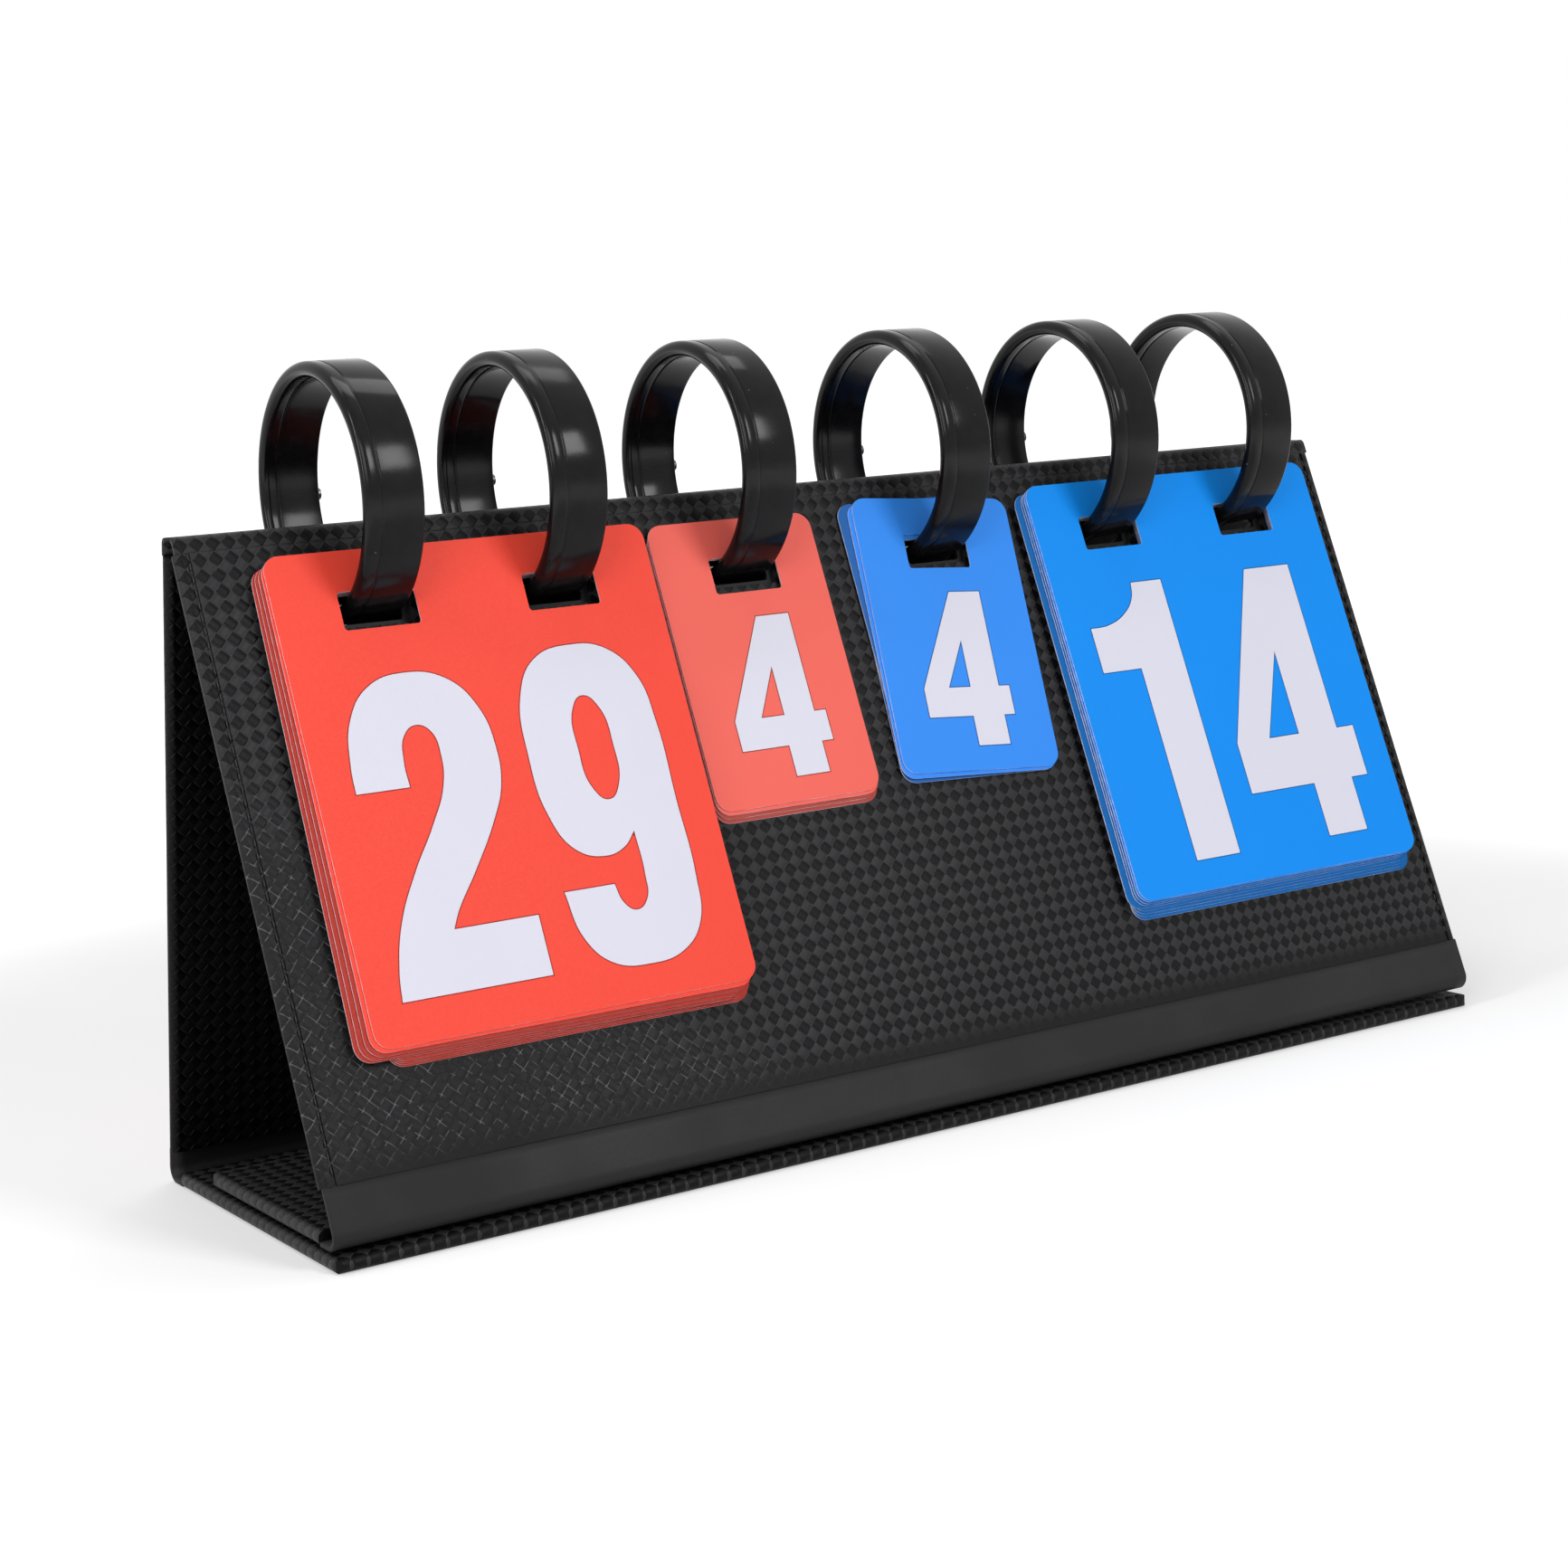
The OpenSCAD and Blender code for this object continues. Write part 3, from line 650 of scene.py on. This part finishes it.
CARDS = {
    "red_large": Card(
        111.4, 129.2, (0, 1), 0, 0.0,
        [(1.6, 4.6 - 0.4 * i, 0.2, -5.5) for i in range(4)]
        + [(-3.1, 3.2, 1.0), (-2.3, 2.7, 0.8), (-1.4, 1.9, 0.5), (-0.6, 1.0, 0.3)],
        "red", "card_red", (TWO, NINE, NINE_HOLE),
    ),
    "red_small": Card(
        53.6, 82.6, (2,), -1.2, 0.0, [(-0.2 * (3 - i), 3 - i, 0) for i in range(3)],
        "small_red", "card_red", (SMALL_FOUR, SMALL_FOUR_HOLE),
    ),
    "blue_small": Card(
        54.4, 82.9, (3,), 0.6, 4.6, [(-2.6, 0.8, 2.6), (-4.1, -1.2, 0.4), (-1.4, 0.4, 4)],
        "small_blue", "card_small_blue", (SMALL_FOUR, SMALL_FOUR_HOLE),
    ),
    "blue_large": Card(
        111.4, 129.2, (4, 5), 1.1, 0.0,
        [(-1.0, 4.8, 0), (-1.2, 4.0, 0), (-1.4, 3.2, 0), (-1.6, 2.4, 0), (-3.3, 1.6, 0), (-1.2, 1.1, 0),
         (-0.8, 0.7, 0), (-0.4, 0.3, 0)],
        "blue", "card_blue", (ONE, FOUR, FOUR_HOLE),
    ),
}
PRINT_T = 0.00002
# How high the dark outline and the pale number lie on a card, in thicknesses of the print
OUTLINE_RISE = 0.6
NUMBER_RISE = 1.6


def number_piece(name, card, place, body):
    """The printed number: a dark outline under a pale number, as thin plates on the card"""
    corner = Matrix.Translation((-card.width / 2 * MM, STRIP * MM, 0))
    on_card = sizes().card_thickness / 2
    loops = [glyph(points, MM) for points in card.outlines]
    bm = bmesh.new()
    for grow, rise, index in ((sizes().outline_width, OUTLINE_RISE, 1), (0.0, NUMBER_RISE, 0)):
        lift = Matrix.Translation((0, 0, on_card + rise * PRINT_T))
        add_plate(bm, loops, PRINT_T, place @ lift @ corner, grow, (index, index))
    pale = card_face(f"{name}_ink", colours().number)
    dark = card_face(f"{name}_outline", Vector(getattr(colours(), card.hue)) * 0.35)
    return new_piece(name, mesh_of(bm, name, False), body, (pale, dark))


def leaves_piece(name, leaves, body, finishes, node):
    """One or more leaves of a pile, each given as its outlines and its place. All but the top one get a
    darker face as painted shade between the leaves."""
    bm = bmesh.new()
    for i, (loops, place) in enumerate(leaves, 1):
        add_plate(bm, loops, sizes().card_thickness, place, faces=(0 if i == len(leaves) else 2, 1))
    return new_piece(name, mesh_of(bm, name, False), body, finishes, [node])


class SCOREBOARD_OT_cards(bpy.types.Operator):
    """Make the piles of cards, the top cards and their numbers"""

    bl_idname = "scoreboard.cards"
    bl_label = "Cards and numbers"

    def execute(self, context):
        thick, pitch = sizes().card_thickness, sizes().card_pitch
        first = CARD_AIR * MM + thick / 2
        inside = RING_R - RING_T
        for kind, card in CARDS.items():
            hue = getattr(colours(), card.hue)
            finishes = (
                card_face(f"card_{kind}", hue), card_edge(f"card_edge_{kind}", hue),
                # Painted shade: the faces of the leaves under the top card, at 0.45 of the card's colour
                card_face(f"card_shade_{kind}", Vector(hue) * 0.45),
            )
            top_height = first + len(card.lies) * pitch
            slot_v = crossing(FRONT_FOLD, FRONT_LEAN, -1, inside, (top_height + thick / 2) / MM) - SLOT_ROOM
            leaves = [
                (
                    card_loops(card, lie, False, SLOT_SLACK * (len(card.lies) - i) * pitch / MM),
                    card_place(card, ON_FRONT, False, first + i * pitch, slot_v),
                )
                for i, lie in enumerate(card.lies)
            ]
            leaves_piece(f"pile_{kind}", leaves, "front_panel", finishes, f"front_pile_{kind}")
            lowered = slot_v - RING_W / 2 * math.sin(math.radians(card.turn))
            place = card_place(card, ON_FRONT, False, top_height, lowered, card.turn)
            leaves = [(card_loops(card, (0, 0, 0), False), place)]
            leaves_piece(f"top_{kind}", leaves, f"card_{kind}", finishes, f"top_card_{kind}")
            number_piece(f"number_{kind}", card, place, f"card_{kind}")
            back_v = crossing(BACK_FOLD, BACK_LEAN, 1, inside, 0) - SLOT_ROOM
            leaves = [
                (card_loops(card, lie, True), card_place(card, ON_BACK, True, first + i * pitch, back_v))
                for i, lie in enumerate(BACK_LIES)
            ]
            leaves_piece(f"back_{kind}", leaves, "back_panel", finishes, f"back_pile_{kind}")
            number_piece(f"back_number_{kind}", card, leaves[-1][1], "back_panel")
        return {"FINISHED"}


# Flexible strips over the folds: how far their ends stay inside the case, how many faces they
# have along the case and in each flat run, the most that one face of a bend turns, and how far
# the front bend's strip lies under the bend's full radius
FOLD_INSET = 0.4
FOLD_COLUMNS = 96
FLAT_ROWS = 4
FOLD_STEP = math.radians(8)
FRONT_BEND_RECESS = 0.06


def strip_mesh(name, middle, radius, start, end, flat_before, flat_after, v_at_start):
    """Skin over a fold: a flat run, an arc about the middle and a flat run, drawn along X.
    Angles are measured in the YZ plane from +Y. The UV map holds the weave's coordinates."""
    half = CASE_W / 2 - FOLD_INSET
    steps = max(6, int(abs(end - start) / FOLD_STEP))
    bm = bmesh.new()
    place = bm.loops.layers.uv.new("UVMap")
    first = Vector((0, math.cos(start), math.sin(start)))
    tangent = Vector((0, -math.sin(start), math.cos(start)))
    centre = Vector((0, middle[0], middle[1]))
    begin = centre + first * radius - tangent * flat_before
    ends = [bm.verts.new((x, begin[1], begin[2])) for x in (-half, half)]
    edge = bm.edges.new(ends)
    bmesh.ops.subdivide_edges(bm, edges=[edge], cuts=FOLD_COLUMNS - 1)
    edges = list(bm.edges)

    def pull(move):
        nonlocal edges
        for _ in range(FLAT_ROWS):
            made = bmesh.ops.extrude_edge_only(bm, edges=edges)["geom"]
            verts = [g for g in made if isinstance(g, bmesh.types.BMVert)]
            edges = [g for g in made if isinstance(g, bmesh.types.BMEdge) and all(v in made for v in g.verts)]
            bmesh.ops.translate(bm, verts=verts, vec=move)

    if flat_before > 0:
        pull(tangent * flat_before / FLAT_ROWS)
    turned = bmesh.ops.spin(
        bm, geom=edges, cent=centre, axis=(1, 0, 0), angle=end - start, steps=steps, use_merge=False
    )["geom_last"]
    edges = [g for g in turned if isinstance(g, bmesh.types.BMEdge)]
    last_tangent = Vector((0, -math.sin(end), math.cos(end)))
    if flat_after > 0:
        pull(last_tangent * flat_after / FLAT_ROWS)
    bmesh.ops.remove_doubles(bm, verts=bm.verts, dist=1e-4)
    for face in bm.faces:
        for loop in face.loops:
            arm = loop.vert.co - centre
            angle = math.atan2(arm[2], arm[1])
            while angle < start - math.pi / 2:
                angle += 2 * math.pi
            if angle < start:
                run = arm.dot(tangent)
            elif angle > end:
                run = radius * (end - start) + arm.dot(last_tangent)
            else:
                run = radius * (angle - start)
            loop[place].uv = (loop.vert.co[0] * MM, (v_at_start + run) * MM)
    bmesh.ops.recalc_face_normals(bm, faces=bm.faces)
    sample = bm.faces[:][len(bm.faces) // 2]
    outward = sample.calc_center_median() - centre
    if sample.normal.dot(outward) < 0:
        bmesh.ops.reverse_faces(bm, faces=bm.faces)
    bmesh.ops.solidify(bm, geom=bm.faces, thickness=HINGE_T)
    bmesh.ops.scale(bm, vec=(MM, MM, MM), verts=bm.verts)
    return mesh_of(bm, name)


class SCOREBOARD_OT_folds(bpy.types.Operator):
    """Make the flexible skin over the two bends and the two folds of the ridge"""

    bl_idname = "scoreboard.folds"
    bl_label = "Folds"

    def execute(self, context):
        front_axis = FRONT_FOLD + Vector((FRONT_FOLD_L, -RIDGE_R))
        back_axis = BACK_FOLD + Vector((-BACK_FOLD_L, -RIDGE_R))
        quarter = math.pi / 2
        woven = leatherette("leatherette_folds", (1, 0, 0), (0, 1, 0), uv=True)
        smooth = plain_skin("leatherette_smooth", Vector(colours().leatherette) * 0.45, 0.00004)
        rows = (
            ("ridge_front_skin", front_axis, RIDGE_R, quarter, math.pi - FRONT_LEAN, 0, RIDGE_BAND_W,
             "ridge_front_hinge", "spine", "front_panel", woven),
            ("ridge_back_skin", back_axis, RIDGE_R, BACK_LEAN, quarter, RIDGE_BAND_W, 0,
             "ridge_back_hinge", "back_panel", "spine", woven),
            ("front_bend_skin", FRONT_BEND, BEND_R - FRONT_BEND_RECESS, math.pi - FRONT_LEAN, 3 * quarter,
             FRONT_BAND_H, FLAT_BAND_W, "front_bend_hinge", "front_panel", "upper_flap", smooth),
            ("back_bend_skin", BACK_BEND, BEND_R - HINGE_RECESS, -quarter, BACK_LEAN, FLAT_BAND_W,
             FLAT_BAND_W, "back_bend_hinge", "lower_flap", "back_panel", smooth),
        )
        for name, middle, radius, a, b, before, after, node, body_a, body_b, finish in rows:
            length = radius * (b - a) + after
            mesh = strip_mesh(name, middle, radius, a, b, before, after, FRONT_FOLD_L + RIDGE_BAND_W - length)
            piece = new_piece(name, mesh, None, (finish,), [node])
            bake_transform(piece)
        return {"FINISHED"}


# Rings: the bead's width, where the halves meet, the gap there, the short first and last step
# that keeps the shading of the ends off the band, and the turn of one step, in degrees
RING_BEAD = 4.4
PIN_ANGLE = 88.0
CLASP_ANGLE = -10.0
RING_SEAM = 0.01
RING_RIM = 0.1
RING_STEP = 3
# Radii of the band's right edge, outside and inside, and the groove as points of place and depth
EDGE_OUT_R = 0.8
EDGE_IN_R = 0.6
OUTER_GROOVE = ((-0.55, 0.0), (-0.2, 0.08), (0.0, 0.42), (0.2, 0.06), (0.5, 0.0))
INNER_GROOVE = ((0.5, 0.0), (0.2, 0.06), (0.0, 0.35), (-0.2, 0.08), (-0.55, 0.0))


def ring_section():
    """Outline of the band across the ring: X along the ring's axis, Y out from its middle. The
    left edge is a full round bead, a groove parts it from the flat band, and the right edge is
    slightly rounded."""
    outer, inner = RING_R, RING_R - RING_T
    left, right = -RING_W / 2, RING_W / 2
    half = (outer - inner) / 2
    middle = (outer + inner) / 2
    groove = left + RING_BEAD
    points = []
    for step in range(15):
        turn = math.pi * (1.5 - step / 14)
        points.append((left + half * (1 + math.cos(turn)), middle + half * math.sin(turn)))
    points += [(groove + across, outer - depth) for across, depth in OUTER_GROOVE]
    for r, level, first in (
        (EDGE_OUT_R, outer - EDGE_OUT_R, math.pi / 2), (EDGE_IN_R, inner + EDGE_IN_R, 0.0),
    ):
        for step in range(6):
            turn = first - math.pi / 2 * step / 5
            points.append((right - r + r * math.cos(turn), level + r * math.sin(turn)))
    points += [(groove + across, inner + depth) for across, depth in INNER_GROOVE]
    return points


def ring_half(name, x, first, last):
    """Part of a ring between two angles, which run from straight down towards the back"""
    steps = int(abs(last - first) / RING_STEP)
    bm = bmesh.new()
    start = math.radians(first)
    ring = []
    for across, reach in ring_section():
        ring.append(bm.verts.new((across, reach * math.sin(start), -reach * math.cos(start))))
    section = [bm.faces.new(ring)]
    for angle, count in ((RING_RIM, 1), (last - first - 2 * RING_RIM, steps), (RING_RIM, 1)):
        section = bmesh.ops.spin(
            bm, geom=section, cent=(0, 0, 0), axis=(1, 0, 0), angle=math.radians(angle), steps=count,
            use_merge=False,
        )["geom_last"]
    bmesh.ops.recalc_face_normals(bm, faces=bm.faces)
    for face in bm.faces:
        face.smooth = len(face.verts) == 4
    place = Matrix.Translation((x * MM, RING_C[0] * MM, RING_C[1] * MM)) @ Matrix.Scale(MM, 4)
    bmesh.ops.transform(bm, matrix=place, verts=bm.verts)
    return mesh_of(bm, name, False)


class SCOREBOARD_OT_rings(bpy.types.Operator):
    """Make the two halves of each ring"""

    bl_idname = "scoreboard.rings"
    bl_label = "Rings"

    def execute(self, context):
        plastic = ring_plastic("ring_plastic")
        halves = (
            ("upper", PIN_ANGLE + RING_SEAM, 360 + CLASP_ANGLE - RING_SEAM),
            ("lower", CLASP_ANGLE, PIN_ANGLE),
        )
        for i, x in enumerate(RING_X, 1):
            for half, first, last in halves:
                node = f"ring_{i}_{half}"
                band = ring_half(f"{node}_band", x, first, last)
                new_piece(f"{node}_band", band, f"ring_{i}", (plastic,), [node])
        return {"FINISHED"}


# Welded edges: the lips of the slots and the crimps of the weld lines

LIP_SIDE = 1.8
LIP_END = 1.3
LIP_T = 0.0012
CRIMP_HALF_W = 0.00028
CRIMP_HALF_H = 0.00022
# How far the crimps lie outside the weld's inner edge, how deep their middles lie under the
# skin's face, and how far their rows stop short of the strips over the folds
CRIMP_OUT = 0.85
CRIMP_DEPTH = 0.00012
CRIMP_END = 2


def crimp_row(bm, start, end):
    """A row of small flattened beads from start to end, in metres"""
    run = end - start
    count = int(run.length / sizes().stitch_pitch)
    turn = run.to_track_quat("X", "Z").to_matrix().to_4x4()
    for i in range(count):
        at = start + run * (i + 0.5) / count
        size = Matrix.Diagonal((sizes().stitch_length / 2, CRIMP_HALF_W, CRIMP_HALF_H, 1))
        place = Matrix.Translation(at) @ turn @ size
        bmesh.ops.create_icosphere(bm, subdivisions=1, radius=1.0, matrix=place)


class SCOREBOARD_OT_lips(bpy.types.Operator):
    """Make the welded skin edge inside each slot that a ring passes through, near black as painted shade
    inside the slot
    """

    bl_idname = "scoreboard.lips"
    bl_label = "Slot lips"

    def execute(self, context):
        # The welded edge is real; its near-black colour, darker than the skin, is painted shade inside the
        # slots
        finish = plain_skin("slot_lips_painted_shade", (0.002, 0.002, 0.0022), 0.00003)
        inside = RING_R - RING_T
        for name, panel, body, side, top, foot in (
            ("front_lips", ON_FRONT, "front_panel", 1,
             crossing(FRONT_FOLD, FRONT_LEAN, -1, inside, 0) - SLOT_ABOVE,
             crossing(FRONT_FOLD, FRONT_LEAN, -1, RING_R, -PANEL_T) + FRONT_SLOT_BELOW),
            ("back_lips", ON_BACK, "back_panel", -1,
             crossing(BACK_FOLD, BACK_LEAN, 1, inside, -PANEL_T) - SLOT_ABOVE,
             crossing(BACK_FOLD, BACK_LEAN, 1, RING_R, 0) + BACK_SLOT_BELOW),
        ):
            bm = bmesh.new()
            for x in RING_X:
                place = panel @ Matrix.Translation((side * x * MM, PANEL_T / 2 * MM, -top * MM)) @ LIE_FLAT
                width, height = SLOT_W * MM, (foot - top) * MM
                edge = rounded(width, height, SLOT_R * MM)
                hole = rounded(
                    width - 2 * LIP_SIDE * MM, height - 2 * LIP_END * MM, SLOT_R * MM, 0, -LIP_END * MM
                )
                add_plate(bm, [edge, hole], LIP_T, place, faces=(0, 0))
            new_piece(name, mesh_of(bm, name, False), body, (finish,))
        return {"FINISHED"}


class SCOREBOARD_OT_crimps(bpy.types.Operator):
    """Make the crimps in the welded side edges of the front and back boards"""

    bl_idname = "scoreboard.crimps"
    bl_label = "Weld crimps"

    def execute(self, context):
        finish = plain_skin("crimp_thread", (0.03, 0.03, 0.032), 0.00003)
        x = (CASE_W / 2 - WELD_W + CRIMP_OUT) * MM
        for name, panel, body, fold, length in (
            ("front_crimps", ON_FRONT, "front_panel", FRONT_FOLD_L, FRONT_L - FRONT_BAND_H),
            ("back_crimps", ON_BACK, "back_panel", BACK_FOLD_L, BACK_L - FLAT_BAND_W),
        ):
            top, foot = fold + RIDGE_BAND_W + CRIMP_END, length - CRIMP_END
            bm = bmesh.new()
            for side in (-x, x):
                start = Vector((side, CRIMP_DEPTH, -top * MM))
                crimp_row(bm, start, Vector((side, CRIMP_DEPTH, -foot * MM)))
            bmesh.ops.transform(bm, matrix=panel, verts=bm.verts)
            new_piece(name, mesh_of(bm, name), body, (finish,))
        return {"FINISHED"}


# How dark the skins inside the tent are painted beside those outside: painted shade inside the tent
LINING_SHADE = 0.12


class SCOREBOARD_OT_finishes(bpy.types.Operator):
    """Give every carried-over solid its finish"""

    bl_idname = "scoreboard.finishes"
    bl_label = "Finishes"

    def execute(self, context):
        flat = leatherette("leatherette_flat", (1, 0, 0), (0, 1, 0), shine_fades_low_left=False)
        for board in ("lower_flap", "upper_flap", "spine"):
            dress(f"{board}_cover", flat)
            dress(f"{board}_lining", flat)
        for board, side, lean_angle, fold, foot in (
            ("front", -1, FRONT_LEAN, FRONT_FOLD, FRONT_L - FRONT_BAND_H),
            ("back", 1, BACK_LEAN, BACK_FOLD, BACK_L - FLAT_BAND_W),
        ):
            down = Vector((0, side * math.sin(lean_angle), -math.cos(lean_angle)))
            ridge = down.dot(Vector((0, fold[0], fold[1]))) * MM
            skin = leatherette(
                f"leatherette_{board}", (1, 0, 0), down, ridge, foot * MM, shine_fades_low_left=board == "front"
            )
            inner = leatherette(
                f"lining_{board}", (1, 0, 0), down, ridge, shine_fades_low_left=False, tone=LINING_SHADE
            )
            dress(f"{board}_cover", skin)
            dress(f"{board}_lining", inner)
        board = plain_skin("greyboard", (0.02, 0.019, 0.018), 0.00008)
        for node in ("lower_flap_board", "upper_flap_board", "front_board", "back_board"):
            dress(node, board)
        loops = plain_skin("closure_loops", (0.012, 0.012, 0.012), 0.0003)
        for node in ("loop_pads", "hook_pads"):
            dress(node, loops)
        steel = brushed("pin_steel")
        for i in range(1, len(RING_X) + 1):
            dress(f"ring_{i}_pin", steel)
        return {"FINISHED"}


# Lamps: where they stand, their width and height, and their power
LAMPS = (
    ("key_lamp", (0.45, -1.35, 0.95), (0.5, 0.5), 9.6),
    ("fill_lamp", (-1.1, -0.95, 0.8), (0.7, 0.7), 6.3),
    ("top_lamp", (0.0, 0.35, 1.6), (1.6, 0.5), 7.0),
    ("edge_lamp", (-1.2, -0.1, 0.7), (0.12, 0.9), 4.5),
)
SKY_LEVEL = 0.23
LAMP_TARGET = (0, 0, 0.1)
FLOOR_HALF = 6.0
# The paper turns to pure white between these two distances from the object, in metres
PAPER_NEAR = 0.3
PAPER_FAR = 0.7
PAPER_GLOW = 0.3
# The eye's direction and tilt in degrees, what it looks at and from how far, in metres. The
# lens is in widths of the picture.
EYE_AZIMUTH, EYE_ELEVATION, EYE_ROLL = -32.67, 8.66, -3.22
EYE_TARGET = (-0.0217, 0, 0.0929)
EYE_DISTANCE = 0.816
EYE_LENS = 3180 / 1733
SENSOR_W = 36


def seen_directly(tree):
    """1 for rays from the eye, straight or by way of gloss or glass, and 0 for others"""
    path = tree.nodes.new("ShaderNodeLightPath")
    total = path.outputs["Is Camera Ray"]
    for kind in ("Is Glossy Ray", "Is Transmission Ray"):
        node = tree.nodes.new("ShaderNodeMath")
        node.operation = "MAXIMUM"
        tree.links.new(total, node.inputs[0])
        tree.links.new(path.outputs[kind], node.inputs[1])
        total = node.outputs[0]
    return total


def floor_paper(name):
    """Pale paper that keeps the shadow near the object and is pure white further out"""
    recipe = Recipe(name)
    place = recipe.coordinates.outputs["Object"]
    speck = recipe.noise(place, 300.0)
    tone = Vector(colours().floor)
    recipe.finish(recipe.blend(speck, tone * 0.99, tone), 0.9, None, 0.0)
    reach = recipe.tree.nodes.new("ShaderNodeVectorMath")
    reach.operation = "LENGTH"
    recipe.link(place, reach.inputs[0])
    far = recipe.ramp(reach.outputs["Value"], PAPER_NEAR, PAPER_FAR)
    glow = recipe.tree.nodes.new("ShaderNodeEmission")
    recipe.link(recipe.ramp(far, 0.0, 1.0, PAPER_GLOW, 1.0), glow.inputs["Strength"])
    lit = recipe.tree.nodes.new("ShaderNodeAddShader")
    recipe.link(recipe.shader.outputs[0], lit.inputs[0])
    recipe.link(glow.outputs[0], lit.inputs[1])
    mixed = recipe.tree.nodes.new("ShaderNodeMixShader")
    recipe.link(seen_directly(recipe.tree), mixed.inputs[0])
    recipe.link(recipe.shader.outputs[0], mixed.inputs[1])
    recipe.link(lit.outputs[0], mixed.inputs[2])
    recipe.link(mixed.outputs[0], recipe.tree.nodes["Material Output"].inputs["Surface"])
    return recipe.material


class SCOREBOARD_OT_stage(bpy.types.Operator):
    """Make the floor, the lamps and the camera"""

    bl_idname = "scoreboard.stage"
    bl_label = "Stage"

    def execute(self, context):
        scene = context.scene
        scene.view_settings.view_transform = "Standard"
        bm = bmesh.new()
        bmesh.ops.create_grid(bm, x_segments=1, y_segments=1, size=FLOOR_HALF)
        floor = bpy.data.objects.new("floor", mesh_of(bm, "floor", False))
        scene.collection.objects.link(floor)
        floor.data.materials.append(floor_paper("floor_paper"))
        world = bpy.data.worlds.new("studio")
        scene.world = world
        world.use_nodes = True
        tree = world.node_tree
        sky = tree.nodes["Background"]
        sky.inputs["Color"].default_value = (1, 1, 1, 1)
        strength = tree.nodes.new("ShaderNodeMapRange")
        strength.inputs["To Min"].default_value = SKY_LEVEL
        tree.links.new(seen_directly(tree), strength.inputs["Value"])
        tree.links.new(strength.outputs["Result"], sky.inputs["Strength"])
        for name, at, size, power in LAMPS:
            lamp = bpy.data.lights.new(name, "AREA")
            lamp.shape = "RECTANGLE"
            lamp.size, lamp.size_y = size
            lamp.energy = power
            holder = bpy.data.objects.new(name, lamp)
            holder.location = at
            aim = Vector(LAMP_TARGET) - Vector(at)
            holder.rotation_euler = aim.to_track_quat("-Z", "Y").to_euler()
            scene.collection.objects.link(holder)
        azimuth, elevation, roll = (math.radians(a) for a in (EYE_AZIMUTH, EYE_ELEVATION, EYE_ROLL))
        level = math.cos(elevation)
        away = Vector((math.sin(azimuth) * level, -math.cos(azimuth) * level, math.sin(elevation)))
        camera_data = bpy.data.cameras.new("camera")
        camera_data.lens = SENSOR_W * EYE_LENS
        camera_data.clip_start = 0.05
        camera = bpy.data.objects.new("camera", camera_data)
        right = (-away).cross(Vector((0, 0, 1))).normalized()
        up = right.cross(-away)
        level_right = math.cos(roll) * right + math.sin(roll) * up
        level_up = -math.sin(roll) * right + math.cos(roll) * up
        turn = Matrix((level_right, level_up, away)).transposed().to_4x4()
        camera.matrix_world = Matrix.Translation(Vector(EYE_TARGET) + away * EYE_DISTANCE) @ turn
        scene.collection.objects.link(camera)
        scene.camera = camera
        return {"FINISHED"}


class SCOREBOARD_PT_panel(bpy.types.Panel):
    """The scoreboard's steps, sizes and colours"""

    bl_idname = "SCOREBOARD_PT_panel"
    bl_label = "Flip scoreboard"
    bl_space_type = "VIEW_3D"
    bl_region_type = "UI"
    bl_category = "Scoreboard"

    def draw(self, context):
        column = self.layout.column()
        for step in STEPS:
            column.operator(step.bl_idname)
        for group in (context.scene.scoreboard_sizes, context.scene.scoreboard_colours):
            for name in group.bl_rna.properties.keys():
                if name not in ("rna_type", "name"):
                    column.prop(group, name)


STEPS = (
    SCOREBOARD_OT_stage, SCOREBOARD_OT_finishes, SCOREBOARD_OT_folds, SCOREBOARD_OT_rings,
    SCOREBOARD_OT_lips, SCOREBOARD_OT_crimps, SCOREBOARD_OT_cards,
)
CLASSES = (ScoreboardSizes, ScoreboardColours, *STEPS, SCOREBOARD_PT_panel)


def register():
    for item in CLASSES:
        bpy.utils.register_class(item)
    bpy.types.Scene.scoreboard_sizes = PointerProperty(type=ScoreboardSizes)
    bpy.types.Scene.scoreboard_colours = PointerProperty(type=ScoreboardColours)


def unregister():
    del bpy.types.Scene.scoreboard_colours
    del bpy.types.Scene.scoreboard_sizes
    for item in reversed(CLASSES):
        bpy.utils.unregister_class(item)


def main():
    register()
    bpy.ops.scoreboard.stage()
    bpy.ops.scoreboard.finishes()
    bpy.ops.scoreboard.folds()
    bpy.ops.scoreboard.rings()
    bpy.ops.scoreboard.lips()
    bpy.ops.scoreboard.crimps()
    bpy.ops.scoreboard.cards()


if __name__ == "__main__":
    main()
